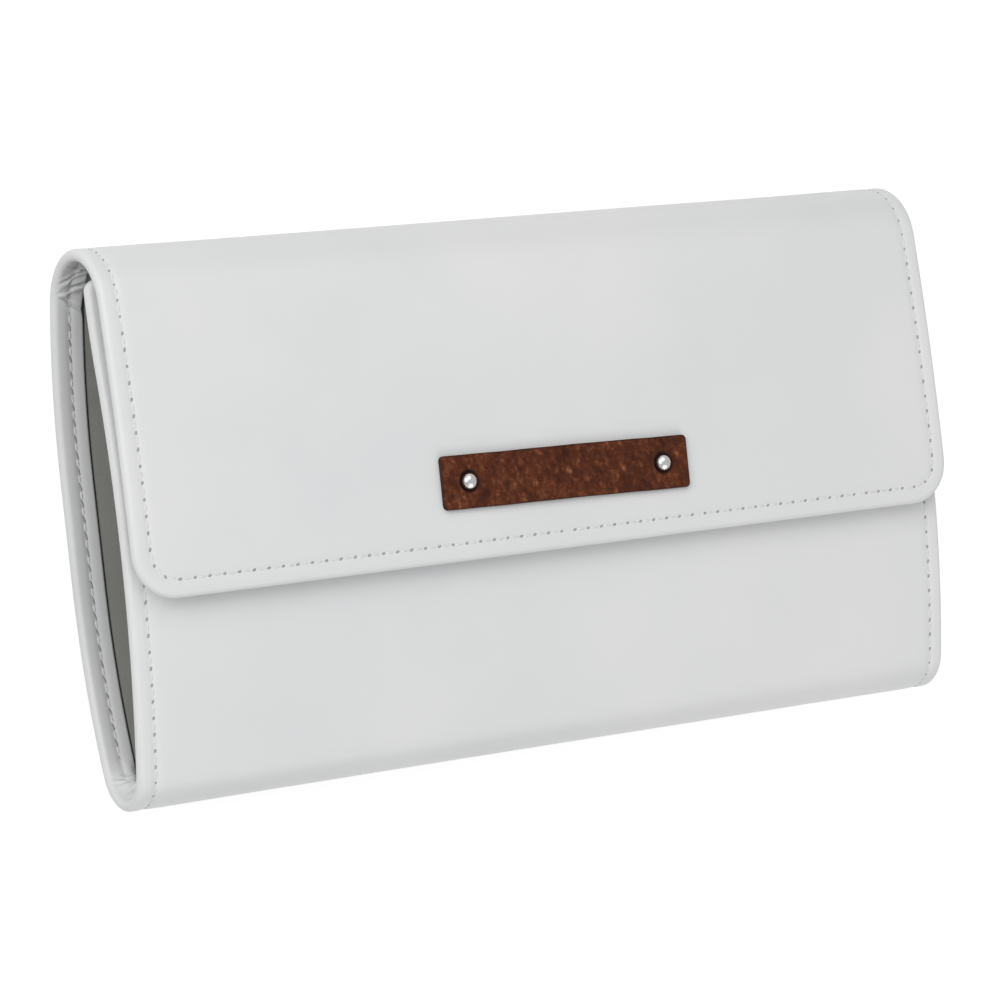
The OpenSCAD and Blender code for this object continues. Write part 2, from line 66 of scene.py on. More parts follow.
# ------------------------ sizes, in millimetres, as in part.scad
BODY_W, BODY_L, FLAP_EDGE, FRONT_GAP = 240.0, 135.0, 50.0, 8.0
NOSE_R, ARCH_R, BOW_R = 10.8, 15.0, 180.0
LOW_SLOPE, HIGH_SLOPE, FRONT_SLOPE = 15.0, 14.0, 10.5
CROWN_R, CROWN_FALL, FLAP_SLOPE, FLAP_R = 300.0, 8.0, 5.0, 700.0
WALL_T, HEM_W, FLAP_CORNER, FRONT_CORNER = 3.0, 8.0, 11.0, 3.0
Y0 = -BODY_L / 2
FLAP_END, FRONT_END = Y0 + FLAP_EDGE, Y0 + BODY_L - FRONT_GAP
LINING_TOP = 2.55  # depth of the lining's upper face
LOW_ZIP_Y, TOP_ZIP_Y = Y0 + 58, Y0 + 102
POCKET_START, POCKET_END, POCKET_W = Y0 + 16, Y0 + 116, 204.0
TAPE_W, TAPE_TOP, CHAIN_L = 10.0, 4.6, 192.0
BAR_Y, BAR_PIVOT_X, ROLL_D, ROLL_L = Y0 + 28.5, -78.0, 13.6, 132.0
STRAP_W, STRAP_T, STRAP_Z = 12.0, 1.2, 25.0
STRIP_START, STRIP_END, STRIP_L, STRIP_T = Y0 + 94, Y0 + 116, 196.0, 1.1
STITCH_IN, STITCH_PITCH = 4.4, 3.95
CUT = 1.0  # how far the last arc of the front panel runs past its edge
LEATHER_UNDER, LINING_UNDER = 1.7, 1.72  # depths where the leather ends and the lining starts
PANEL_STEP, LEATHER_FOLD_STEP, LINING_FOLD_STEP, X_STEP = 2.5, 0.36, 0.42, 4.0
SEAM_ROWS = [0, 0.12, 0.4]
CORNER_STEPS = 10
PHASE = 6.28  # range of a random phase


def sin(a):
    return math.sin(math.radians(a))


def cos(a):
    return math.cos(math.radians(a))


def spot(c, r, a):
    return (c[0] + r * cos(a), c[1] + r * sin(a))


NOSE_C = (Y0 + NOSE_R, BOW_R * (1 - cos(LOW_SLOPE)) + NOSE_R * cos(LOW_SLOPE))
ARCH_C = (Y0 + BODY_L - ARCH_R, BOW_R * (1 - cos(HIGH_SLOPE)) + ARCH_R * cos(HIGH_SLOPE))
LOW_BOW_C = (NOSE_C[0] + (BOW_R - NOSE_R) * sin(LOW_SLOPE), BOW_R)
HIGH_BOW_C = (ARCH_C[0] - (BOW_R - ARCH_R) * sin(HIGH_SLOPE), BOW_R)
CROWN_C = spot(NOSE_C, NOSE_R - CROWN_R, 90 + FRONT_SLOPE)
DIP_START = spot(CROWN_C, CROWN_R, 90 - CROWN_FALL)
DIP_R = (FRONT_END + CUT - DIP_START[0]) / sin(CROWN_FALL)
DIP_C = spot(DIP_START, DIP_R, 90 - CROWN_FALL)
FLAP_C = spot(ARCH_C, ARCH_R - FLAP_R, 90 - FLAP_SLOPE)


# ------------------------ the one strip of leather, from the front edge to the flap edge
def strip_arcs():
    """Centre, radius, first and last angle of each arc, and the side that is outside (0 for the flat)."""
    front_turn = -math.degrees(math.acos((FRONT_END - DIP_C[0]) / DIP_R))
    flap_turn = math.degrees(math.acos((FLAP_END - FLAP_C[0]) / FLAP_R))
    gap = abs(HIGH_BOW_C[0] - LOW_BOW_C[0])
    return [
        (DIP_C, DIP_R, front_turn, -90 - CROWN_FALL, -1),
        (CROWN_C, CROWN_R, 90 - CROWN_FALL, 90 + FRONT_SLOPE, 1),
        (NOSE_C, NOSE_R, 90 + FRONT_SLOPE, 270 - LOW_SLOPE, 1),
        (LOW_BOW_C, BOW_R, 270 - LOW_SLOPE, 270, 1),
        ((LOW_BOW_C[0], 0.0), gap, 0, 0, 0),
        (HIGH_BOW_C, BOW_R, 270, 270 + HIGH_SLOPE, 1),
        (ARCH_C, ARCH_R, 270 + HIGH_SLOPE, 450 - FLAP_SLOPE, 1),
        (FLAP_C, FLAP_R, 90 - FLAP_SLOPE, flap_turn, 1),
    ]


ARCS = strip_arcs()
LENGTHS = [r if side == 0 else r * math.radians(abs(b - a)) for _, r, a, b, side in ARCS]
STARTS = np.concatenate([[0.0], np.cumsum(LENGTHS)])
S_END = float(STARTS[-1])


def s_at(arc, angle):
    _, r, a, b, side = ARCS[arc]
    return float(STARTS[arc] + r * math.radians(abs(angle - a)))


def strip(s, d):
    """Y and Z of a point at arc length s and depth d below the outer surface, and the outward normal."""
    s, d = np.broadcast_arrays(np.asarray(s, float), np.asarray(d, float))
    y, z, ny, nz = (np.zeros(s.shape) for _ in range(4))
    which = np.clip(np.searchsorted(STARTS, s, side="right") - 1, 0, len(ARCS) - 1)
    for i, (c, r, a, b, side) in enumerate(ARCS):
        m = which == i
        if not m.any():
            continue
        t = s[m] - STARTS[i]
        if side == 0:
            y[m], z[m], ny[m], nz[m] = c[0] + t, d[m], 0.0, -1.0
            continue
        turn = np.radians(a) + np.sign(b - a) * t / r
        ny[m], nz[m] = side * np.cos(turn), side * np.sin(turn)
        y[m] = c[0] + r * np.cos(turn) - d[m] * ny[m]
        z[m] = c[1] + r * np.sin(turn) - d[m] * nz[m]
    return y, z, ny, nz


def points_of(x, y, z):
    return np.stack(np.broadcast_arrays(np.asarray(x, float), y, z), axis=-1)


def on_strip(x, s, d):
    return points_of(x, *strip(s, d)[:2])


def s_of_y(y, low, high):
    """Arc length where the outer surface has this Y, between two arc lengths."""
    s = np.linspace(low, high, 4000)
    line = strip(s, 0.0)[0]
    order = np.argsort(line)
    return np.interp(y, line[order], s[order])


SEAMS = [0.0, s_at(2, 90 + FRONT_SLOPE) - 2.5, s_at(2, 180), s_at(2, 270 - LOW_SLOPE) + 3.0,
         s_at(6, 270 + HIGH_SLOPE) - 4.5, s_at(6, 360), s_at(6, 450 - FLAP_SLOPE) + 3.5, S_END]
# name of each panel, the bodies it is on, and the CAD nodes that its leather and its lining stand for
PANELS = [
    ("front", ("back",), ["front_leather", "front_board"], ["front_lining"]),
    ("bottom_high", ("back",), ["bottom_leather", "bottom_core"], ["bottom_lining"]),
    ("bottom_low", ("back",), ["bottom_leather"], ["bottom_lining"]),
    ("back", ("back",), ["back_leather", "back_board"], ["back_lining"]),
    ("top_low", ("back", "top_fold"), ["top_leather", "top_core"], ["top_lining"]),
    ("top_high", ("top_fold", "flap"), ["top_leather"], ["top_lining"]),
    ("flap", ("flap",), ["flap_leather", "flap_foam"], ["flap_lining"]),
]


def panel_of(s):
    return int(np.clip(np.searchsorted(SEAMS, s, side="right") - 1, 0, len(PANELS) - 1))


def is_fold(i):
    """The folds are in two halves each, so their names have an underscore."""
    return "_" in PANELS[i][0]


def carry(obj, i):
    """Puts a piece on the body of panel i; a piece of a panel between two bodies only gets its place baked
    into its mesh.
    """
    name, bodies = PANELS[i][0], PANELS[i][1]
    if len(bodies) == 1:
        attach(obj, bodies[0])
        return
    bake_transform(obj)


# ------------------------ mesh helpers
def put(name, data):
    """Adds an object to the scene."""
    obj = bpy.data.objects.new(name, data)
    bpy.context.scene.collection.objects.link(obj)
    return obj


def keep_rest(me):
    """Keeps the rest place of each point, for the materials."""
    rest = np.zeros(len(me.vertices) * 3, np.float32)
    me.vertices.foreach_get("co", rest)
    me.attributes.new("rest", "FLOAT_VECTOR", "POINT").data.foreach_set("vector", rest)


def mesh_piece(name, verts, faces, mat, sharp=(), smooth=True):
    """A mesh from points in millimetres."""
    me = bpy.data.meshes.new(name)
    me.from_pydata((np.asarray(verts, float) * MM).tolist(), [], [list(map(int, f)) for f in faces])
    me.validate()
    me.update()
    keep_rest(me)
    me.polygons.foreach_set("use_smooth", [smooth] * len(me.polygons))
    if len(sharp):
        wanted = {tuple(sorted(map(int, e))) for e in sharp}
        flags = [tuple(sorted(e.vertices)) in wanted for e in me.edges]
        me.attributes.new("sharp_edge", "BOOLEAN", "EDGE").data.foreach_set("value", flags)
    me.materials.append(mat)
    return put(name, me)


def mark(obj, name, values):
    """Keeps one number per point, for the material."""
    attr = obj.data.attributes.new(name, "FLOAT", "POINT")
    attr.data.foreach_set("value", np.asarray(values, np.float32))


def finish_piece(obj, nodes=()):
    if nodes:
        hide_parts(*nodes)
    return obj


def tube_faces(rings, sides):
    """Faces round a row of rings, with both ends closed."""
    faces = []
    for i in range(0, (rings - 1) * sides, sides):
        for j, k in zip(range(sides), [*range(1, sides), 0]):
            faces.append([i + j, i + k, i + sides + k, i + sides + j])
    return faces + [list(range(sides))[::-1], [(rings - 1) * sides + j for j in range(sides)]]


class Build:
    """Collects many small closed forms into one mesh."""

    def __init__(self):
        self.v, self.f = [], []

    def add(self, verts, faces):
        n = len(self.v)
        self.v.extend(map(tuple, np.asarray(verts, float)))
        self.f.extend([[n + i for i in f] for f in faces])

    def tube(self, points, radii, sides=8, squash=1.0, up=(0, 0, 1)):
        """A closed tube through points, its ends drawn in to a tip where the radius is small."""
        p = np.asarray(points, float)
        radii = np.broadcast_to(np.asarray(radii, float), (len(p),))
        t = np.gradient(p, axis=0)
        t /= np.linalg.norm(t, axis=1)[:, None]
        up = np.broadcast_to(np.asarray(up, float), p.shape)
        side = np.cross(t, up)
        side /= np.linalg.norm(side, axis=1)[:, None] + 1e-12
        over = np.cross(side, t)
        a = np.linspace(0, 2 * np.pi, sides, endpoint=False)
        ring = (p[:, None] + radii[:, None, None] * (np.cos(a)[None, :, None] * side[:, None]
                + squash * np.sin(a)[None, :, None] * over[:, None]))
        self.add(ring.reshape(-1, 3), [f[::-1] for f in tube_faces(len(p), sides)])

    def lathe(self, profile, place, sides):
        """A turned form: profile is (radius, height) from one end on the axis to the other."""
        verts, rows = [], []
        for r, h in profile:
            if r < 1e-6:
                rows.append([len(verts)])
                verts.append(place((0, 0, h)))
                continue
            rows.append(list(range(len(verts), len(verts) + sides)))
            for j in range(sides):
                a = 2 * math.pi * j / sides
                verts.append(place((r * math.cos(a), r * math.sin(a), h)))
        faces = []
        for low, high in zip(rows, rows[1:]):
            for j in range(sides):
                k = (j + 1) % sides
                if len(low) == 1:
                    faces.append([low[0], high[k], high[j]])
                elif len(high) == 1:
                    faces.append([low[j], low[k], high[0]])
                else:
                    faces.append([low[j], low[k], high[k], high[j]])
        self.add(verts, faces)

    def piece(self, name, mat):
        return mesh_piece(name, self.v, self.f, mat)


SAME_POINT = 2e-6  # metres
FLAT_ANGLE, ROUNDED_ANGLE, SHARP_ANGLE = (math.radians(a) for a in (1.0, 28, 40))


def softened(node, name, mat, width, segments=2):
    """A copy of a CAD node with its edges rounded, standing for it on the same body."""
    src = frame["nodes"][node]
    obj = put(name, src.data.copy())
    bm = bmesh.new()
    bm.from_mesh(obj.data)
    bmesh.ops.remove_doubles(bm, verts=bm.verts, dist=SAME_POINT)
    bmesh.ops.dissolve_limit(bm, angle_limit=FLAT_ANGLE, verts=bm.verts, edges=bm.edges)
    edges = [e for e in bm.edges if len(e.link_faces) == 2 and e.calc_face_angle(0) > ROUNDED_ANGLE]
    bmesh.ops.bevel(bm, geom=edges, offset=width * MM, segments=segments, profile=0.6,
                    affect="EDGES", clamp_overlap=True)
    bmesh.ops.triangulate(bm, faces=[f for f in bm.faces if len(f.verts) > 4])
    for f in bm.faces:
        f.smooth = True
    bm.to_mesh(obj.data)
    bm.free()
    obj.data.set_sharp_from_angle(angle=SHARP_ANGLE)
    obj.data.materials.clear()
    obj.data.materials.append(mat)
    keep_rest(obj.data)
    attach(obj, src["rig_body"])
    return finish_piece(obj, [node])


def grid_faces(rows, cols, start=0):
    corners = [start + i * cols + j for i in range(rows - 1) for j in range(cols - 1)]
    return [[k, k + 1, k + cols + 1, k + cols] for k in corners]


# ------------------------ plan of a panel
# rows of the leather beside a free edge, counted from the edge
EDGE = [0.0, 0.05, 0.2, 0.45, 0.8, 1.15, 1.5, 2.1, 2.8, 3.4, 3.8, 4.1, 4.4, 4.7, 5.0, 5.5, 6.3, 7.0,
        7.4, 7.65, 7.85, 7.95, 8.0, 8.1, 8.4, 9.2, 11.0]


def merged(points, faces):
    """Joins points that fall together and drops the faces that collapse."""
    seen = {}
    where = [seen.setdefault(key, len(seen)) for key in map(tuple, np.round(points[:, :2], 4))]
    kept = []
    for f in faces:
        g = [where[i] for i in f]
        g = [p for p, q in zip(g, g[1:] + g[:1]) if p != q]
        if len(set(g)) > 2:
            kept.append(g)
    return points[np.unique(where, return_index=True)[1]], kept


def rows_between(a, b, step, seam_low, seam_high):
    """Rows of a panel, closer together beside a seam so that both sides shade alike."""
    low = SEAM_ROWS if seam_low else [0]
    high = SEAM_ROWS[::-1] if seam_high else [0]
    n = max(2, int(round((b - a - low[-1] - high[0]) / step)))
    middle = np.linspace(a + low[-1], b - high[0], n + 1)[1:-1]
    return np.array([a + d for d in low] + list(middle) + [b - d for d in high])


def plan(panel, edge, s_step):
    """Plan of one panel: its points (x, s, distance from the free edge) and its faces."""
    half = BODY_W / 2
    a, b = SEAMS[panel], SEAMS[panel + 1]
    deep = edge[-1]
    n = int(round((BODY_W - 2 * deep) / X_STEP))
    mid = np.linspace(-half + deep, half - deep, n + 1)
    free_low, free_high = panel == 0, panel == len(PANELS) - 1
    if not free_low and not free_high:
        ss = rows_between(a, b, s_step, True, True)
        xs = np.concatenate([[-half + e for e in edge[:-1]], mid, [half - e for e in edge[-2::-1]]])
        es = np.concatenate([edge[:-1], np.minimum(mid + half, half - mid), edge[-2::-1]])
        pts = [(x, s, e) for s in ss for x, e in zip(xs, es)]
        return np.array(pts), grid_faces(len(ss), len(xs))
    r = FLAP_CORNER if free_high else FRONT_CORNER
    end, way = (b, -1.0) if free_high else (a, 1.0)
    start = a if free_high else b
    length = b - a
    runs = rows_between(0.0, length - deep, s_step, True, False)
    pts = [(x, start - way * t, min(x + half, half - x, length - t)) for t in runs for x in mid]
    faces = grid_faces(len(runs), len(mid))
    # band of edge rows: down one side, round the corner, along the end, round, and up the other side
    arc = [90.0 * i / CORNER_STEPS for i in range(CORNER_STEPS + 1)]
    track = [("side", -1, t) for t in runs] + [("turn", -1, q) for q in arc] + [("end", 0, x) for x in mid]
    track += [("turn", 1, q) for q in arc[::-1]] + [("side", 1, t) for t in runs[::-1]]
    base = len(pts)
    for kind, side, value in track:
        for e in edge:
            if kind == "side":
                p = (side * (half - e), start - way * value)
            elif kind == "end":
                p = (value, end + way * e)
            elif e < r:
                p = (side * (half - r + (r - e) * cos(value)), end + way * (r - (r - e) * sin(value)))
            else:
                p = (side * (half - e), end + way * e)
            pts.append((p[0], p[1], e))
    faces.extend(grid_faces(len(track), len(edge), base))
    return merged(np.array(pts), faces)


def orient(u, v, faces):
    """Turns every face so that its corners run the same way round in plan."""
    out = []
    for f in faces:
        a, b = u[f], v[f]
        area = np.sum(a * np.roll(b, -1) - np.roll(a, -1) * b)
        out.append(f if area > 0 else f[::-1])
    return out


# ------------------------ shape of the leather over its edge, seams and puckers
def bump(t, at, width):
    return np.exp(-((t - at) / width) ** 2)


def swell(x, s, seed, size):
    """Slow undulation of soft leather over its board, from 0 to 1."""
    rng = np.random.default_rng(seed)
    total, waves = np.zeros(np.shape(x)), 7
    for _ in range(waves):
        fx, fs = rng.uniform(-1, 1, 2) * 2 * np.pi / size
        total = total + np.sin(fx * x + fs * s + rng.uniform(0, PHASE)) / waves
    return 0.5 + 0.5 * total


def ramped(e, start, length):
    """0 up to start, then rising to 1 over length."""
    return np.clip((e - start) / length, 0, 1)


def eased(t):
    return t * t * (3 - 2 * t)


def turned(e, r):
    """Depth of a rolled edge of radius r at distance e from the edge."""
    return r - np.sqrt(np.maximum(r * r - (r - np.minimum(e, r)) ** 2, 0.0))


# where the hem's creases sit round the top fold and the bottom fold
ARCH_S = [s_at(6, a) for a in (287, 296, 307, 319, 336, 356, 378, 402, 424)]
NOSE_S = [s_at(2, a) for a in (128, 146, 165, 188, 208, 226, 243)]
# spread of a crease's size, lean and width, of its place, and of its pull on the hem's inner edge
CREASE_SPREAD, CREASE_WANDER, CREASE_PULL = ((0.35, 1.0), (-1.0, 1.0), (0.7, 1.2)), (-1.2, 1.2), (-0.5, 0.8)
RIDGE_H, RIDGE_AT, RIDGE_W, TROUGH_D, TROUGH_W, PULL_W = 0.45, 1.1, 0.9, 0.6, 0.46, 1.6
HEM_CREASE, CREASE_LOW, CREASE_HIGH = 1.2, -0.75, 0.42
# depth and width of the groove under the stitches, and of the hollow round it; the same groove in the hem
GROOVE_D, GROOVE_W, HOLLOW_D, HOLLOW_W, HEM_GROOVE_D, HEM_GROOVE_W = 0.24, 0.75, 0.05, 2.0, 0.3, 0.8
SOFT_D, SOFT_SIZE, SOFT_START, SOFT_RISE = 0.22, 85.0, 9, 30
GATHER_AT, GATHER_REACH, GATHER_H, GATHER_FULL = s_at(2, 188), 17.0, 2.9, 2.5
LIP_R, LIP_D = 0.55, 0.55


def pucker(x, s, e):
    """Creases of the turned-in hem round the folds: (height, shift of the hem's inner edge)."""
    rng = np.random.default_rng(5)
    height, shift = np.zeros(np.shape(x)), np.zeros(np.shape(x))
    for at in ARCH_S + NOSE_S:
        for side in (-1, 1):
            near = (np.sign(x) == side)
            size, lean, wide = (rng.uniform(*spread) for spread in CREASE_SPREAD)
            t = s + lean * (e - HEM_W / 2) + 0.25 * np.sin(1.3 * e + at) - at - rng.uniform(*CREASE_WANDER)
            ridges = bump(t, RIDGE_AT * wide, RIDGE_W * wide) + bump(t, -RIDGE_AT * wide, RIDGE_W * wide)
            crease = RIDGE_H * ridges - TROUGH_D * bump(t, 0, TROUGH_W)
            height = height + near * size * crease * ramped(e, 0.7, 2.0) * (0.55 + 0.45 * ramped(e, 0, HEM_W))
            shift = shift + near * size * rng.uniform(*CREASE_PULL) * bump(s + lean * HEM_W / 2, at, PULL_W)
    return height, shift


def outer_depth(x, s, e):
    d = turned(e, WALL_T / 2)
    d = d + GROOVE_D * bump(e, STITCH_IN, GROOVE_W) + HOLLOW_D * bump(e, STITCH_IN, HOLLOW_W)
    return d + SOFT_D * ramped(e, SOFT_START, SOFT_RISE) * swell(x, s, 3, SOFT_SIZE)


def gather(s, e):
    """Leather bunched up inside the bottom fold, where the turned-in hem has no room."""
    along = np.clip(1 - ((s - GATHER_AT) / GATHER_REACH) ** 2, 0, 1) ** 1.5
    wobble = 1 + 0.16 * np.sin(0.62 * s + 0.5 * e) + 0.1 * np.sin(1.3 * s - 0.8 * e + 1)
    return GATHER_H * along * wobble * eased(ramped(e, 0.9, 4.6)) * (1 - eased(ramped(e, 6.3, 1.6)))


def inner_depth(x, s, e):
    height, _ = pucker(x, s, e)
    bunched = gather(s, e)
    crease = HEM_CREASE * np.clip(height, CREASE_LOW, CREASE_HIGH) * np.clip((HEM_W + 0.2 - e) / 0.8, 0, 1)
    crease = crease * (1 - 0.7 * ramped(bunched, 0, GATHER_FULL))
    hem = WALL_T - turned(e, WALL_T / 2) - HEM_GROOVE_D * bump(e, STITCH_IN, HEM_GROOVE_W) + crease + bunched
    lip = np.clip((HEM_W + 0.02 - e) / LIP_R, 0, 1)
    hem = hem - LIP_D * (1 - np.sqrt(np.clip(lip * (2 - lip), 0, 1)))
    return np.where(e > HEM_W + 0.05, LEATHER_UNDER, hem)


def grid(us, vs):
    """Every pair of two rows of numbers, and the faces between them."""
    u, v = (g.ravel() for g in np.meshgrid(us, vs, indexing="ij"))
    return u, v, grid_faces(len(us), len(vs))


def slab(u, v, faces, top, low, rim=None):
    """Closed solid between two sheets over one plan. Points marked in rim are shared by both sheets."""
    faces, n = orient(u, v, faces), len(top)
    same = [k if rim is not None and rim[k] else k + n for k in range(n)]
    edges = dict.fromkeys((p, q) for f in faces for p, q in zip(f, f[1:] + f[:1]))
    out, sharp = faces + [[same[k] for k in f][::-1] for f in faces], []
    for p, q in edges:
        if (q, p) in edges or (same[p] == p and same[q] == q):
            continue
        out.append(list(dict.fromkeys((q, p, same[p], same[q]))))
        sharp += [(p, q), (same[p], same[q])]
    used = sorted({k for f in out for k in f})
    remap = {k: j for j, k in enumerate(used)}
    verts = np.concatenate([top, low])[used]
    return verts, [[remap[k] for k in f] for f in out], [(remap[p], remap[q]) for p, q in sharp]


def leather_panel(i, mat):
    name = PANELS[i][0]
    pts, faces = plan(i, EDGE, LEATHER_FOLD_STEP if is_fold(i) else PANEL_STEP)
    x, s, e = pts.T
    top = on_strip(x, s, outer_depth(x, s, e))
    _, shift = pucker(x, s, e)
    # only the hem's inner edge moves
    move = np.sign(-x) * shift * ramped(e, 5, 2) * np.clip((10.5 - e) / 1.5, 0, 1)
    low = on_strip(x + move, s, inner_depth(x, s, e))
    verts, allf, sharp = slab(x, s, faces, top, low, e < 1e-6)
    obj = mesh_piece(name + "_shell", verts, [f[::-1] for f in allf], mat, sharp)
    carry(finish_piece(obj, PANELS[i][2]), i)


def lining_panel(i, mat):
    """Suede sheet whose edge is tucked under the turned-in hem."""
    name = PANELS[i][0]
    tuck = [7.7, 7.9, 8.05, 8.35, 8.6, 9.2, 11.0]
    pts, faces = plan(i, tuck, LINING_FOLD_STEP if is_fold(i) else PANEL_STEP)
    x, s, e = pts.T
    soft = 0.16 * swell(x, s, 11, 40.0) * ramped(e, HEM_W, 4)
    verts, allf, sharp = slab(x, s, faces, on_strip(x, s, LINING_UNDER), on_strip(x, s, LINING_TOP - soft))
    obj = mesh_piece(name + "_suede", verts, [f[::-1] for f in allf], mat, sharp)
    # painted shade: a dark line where the suede goes under the hem, for the shadow in that gap
    mark(obj, "edge", np.clip((8.6 - np.tile(e, 2)) / 0.25, 0, 1))
    carry(finish_piece(obj, PANELS[i][3]), i)


# ------------------------ lockstitch round the whole strip
def stitch_path():
    """Left-hand half of the seam line, from the middle of the flap's edge to the middle of the front edge."""
    half, r1, r2 = BODY_W / 2, FLAP_CORNER, FRONT_CORNER
    pts = [(0.0, S_END - STITCH_IN), (-half + r1, S_END - STITCH_IN)]
    q1 = r1 - STITCH_IN
    pts += [(-half + r1 - q1 * sin(a), S_END - r1 + q1 * cos(a)) for a in range(10, 91, 10)]
    pts += [(-half + STITCH_IN, s) for s in np.linspace(S_END - r1 - 1, STITCH_IN + 2, 500)]
    q2 = max(r2 - STITCH_IN, 1.0)
    c2 = STITCH_IN + q2
    pts += [(-half + c2 - q2 * cos(a), c2 - q2 * sin(a)) for a in range(0, 91, 15)]
    pts += [(0.0, STITCH_IN)]
    return np.array(pts)


# How a stitch lies on either face: the stretch of the pitch that it covers, its slant (None: random), depth,
# dive of its ends, rise of its middle and radius; then its needle hole's place in the pitch, depth, turn,
# length and width. The needle hole is a grey lens of painted shade that lies on the leather.
OUTER = dict(face=1, span=(0.2, 0.8), slant=None, base=0.23, dive=0.34, rise=0.06, radius=0.18,
             hole_at=0.0, hole_d=0.25, turn=0.5, hole=(0.52, 0.37))
INNER = dict(face=-1, span=(0.46, 0.98), slant=0.16, base=WALL_T - 0.2, dive=-0.34, rise=-0.06, radius=0.17,
             hole_at=0.22, hole_d=WALL_T - 0.25, turn=0.3, hole=(1.15, 0.3))
STITCH_TAPER = np.array([0.55, 0.85, 1, 1, 1, 0.85, 0.55])
HOLE_FORM = [(0.0, -0.12), (0.6, -0.06), (1.0, 0.0), (0.6, 0.05), (0.0, 0.065)]
FOLD_FADE = 0.7  # the holes are smaller where the leather is stretched round a fold
BUNCHED = 0.25  # no inner stitch shows where the hem is bunched up higher than this


def strip_point(x, s, d):
    y, z, ny, nz = strip(s, d)
    return np.array([x, float(y), float(z)]), np.array([0.0, float(ny), float(nz)])


def stitching(mat, hole_shade_mat):
    path = stitch_path()
    run = np.concatenate([[0], np.cumsum(np.hypot(*np.diff(path, axis=0).T))])
    at = (np.arange(int(run[-1] / STITCH_PITCH) + 1) + 0.5) * STITCH_PITCH
    at = at[at < run[-1]]
    spots = np.stack([np.interp(at, run, path[:, 0]), np.interp(at, run, path[:, 1])], axis=1)
    threads, hole_shades = ([Build() for _ in PANELS] for _ in range(2))
    rng = np.random.default_rng(8)
    us = np.linspace(-1, 1, len(STITCH_TAPER))
    for side in (1, -1):
        for a, b in zip(spots, spots[1:]):
            along = (b - a) / np.linalg.norm(b - a)
            across = np.array([-along[1], along[0]])
            # every stitch leans the same way in the picture plane of its panel
            way = 1.0 if side * (along[0] - 0.3 * across[0]) * (along[1] - 0.3 * across[1]) < 0 else -1.0
            i = panel_of((a[1] + b[1]) / 2)
            lean = 0.10 + 0.03 * rng.standard_normal()
            fade = FOLD_FADE if is_fold(i) else 1.0
            for kind in (OUTER, INNER):
                if kind is INNER and (abs(a[0]) < 1 or gather(a[1], STITCH_IN) > BUNCHED):
                    continue
                slant = lean if kind["slant"] is None else kind["slant"]
                line, ups = [], []
                for u, share in zip(us, np.linspace(*kind["span"], len(us))):
                    p = a + (b - a) * share - across * slant * u * way
                    d = kind["base"] + kind["dive"] * abs(u) ** 3 - kind["rise"] * (1 - u * u)
                    q, normal = strip_point(side * p[0], p[1], d)
                    line.append(q)
                    ups.append(normal)
                threads[i].tube(line, kind["radius"] * STITCH_TAPER, sides=7, squash=0.85, up=np.array(ups))
                # the needle hole, a grey lens of painted shade, drawn out along the slant of the stitch
                p = a + (b - a) * kind["hole_at"]
                turn = kind["turn"] * (1 + 0.15 * rng.standard_normal())
                lie = along * math.cos(turn) - way * across * math.sin(turn)
                c, normal = strip_point(side * p[0], p[1], kind["hole_d"])
                normal = kind["face"] * normal
                t3 = strip_point(side * (p[0] + lie[0]), p[1] + lie[1], kind["hole_d"])[0] - c
                t3 /= np.linalg.norm(t3)
                w3 = np.cross(normal, t3)
                long, wide = kind["hole"]
                long, wide = long * fade * (1 + 0.1 * rng.standard_normal()), wide * fade
                hole_shades[panel_of(p[1])].lathe(
                    HOLE_FORM, lambda v: c + long * v[0] * t3 + wide * v[1] * w3 + v[2] * normal, sides=10)
    for i, panel in enumerate(PANELS):
        for made, kind, made_mat in ((threads, "_stitching", mat), (hole_shades, "_painted_hole_shades", hole_shade_mat)):
            carry(finish_piece(made[i].piece(panel[0] + kind, made_mat)), i)


# ------------------------ materials
def fill(node, **values):
    """Sets inputs of a node by name."""
    for key, value in values.items():
        node.inputs[key.replace("_", " ")].default_value = value


def wired(tree, kind, *sources, **values):
    """A new node with some inputs set by name and its first inputs linked from the given outputs."""
    node = tree.nodes.new("ShaderNode" + kind)
    fill(node, **values)
    for socket, source in zip(node.inputs, sources):
        tree.links.new(source, socket)
    return node


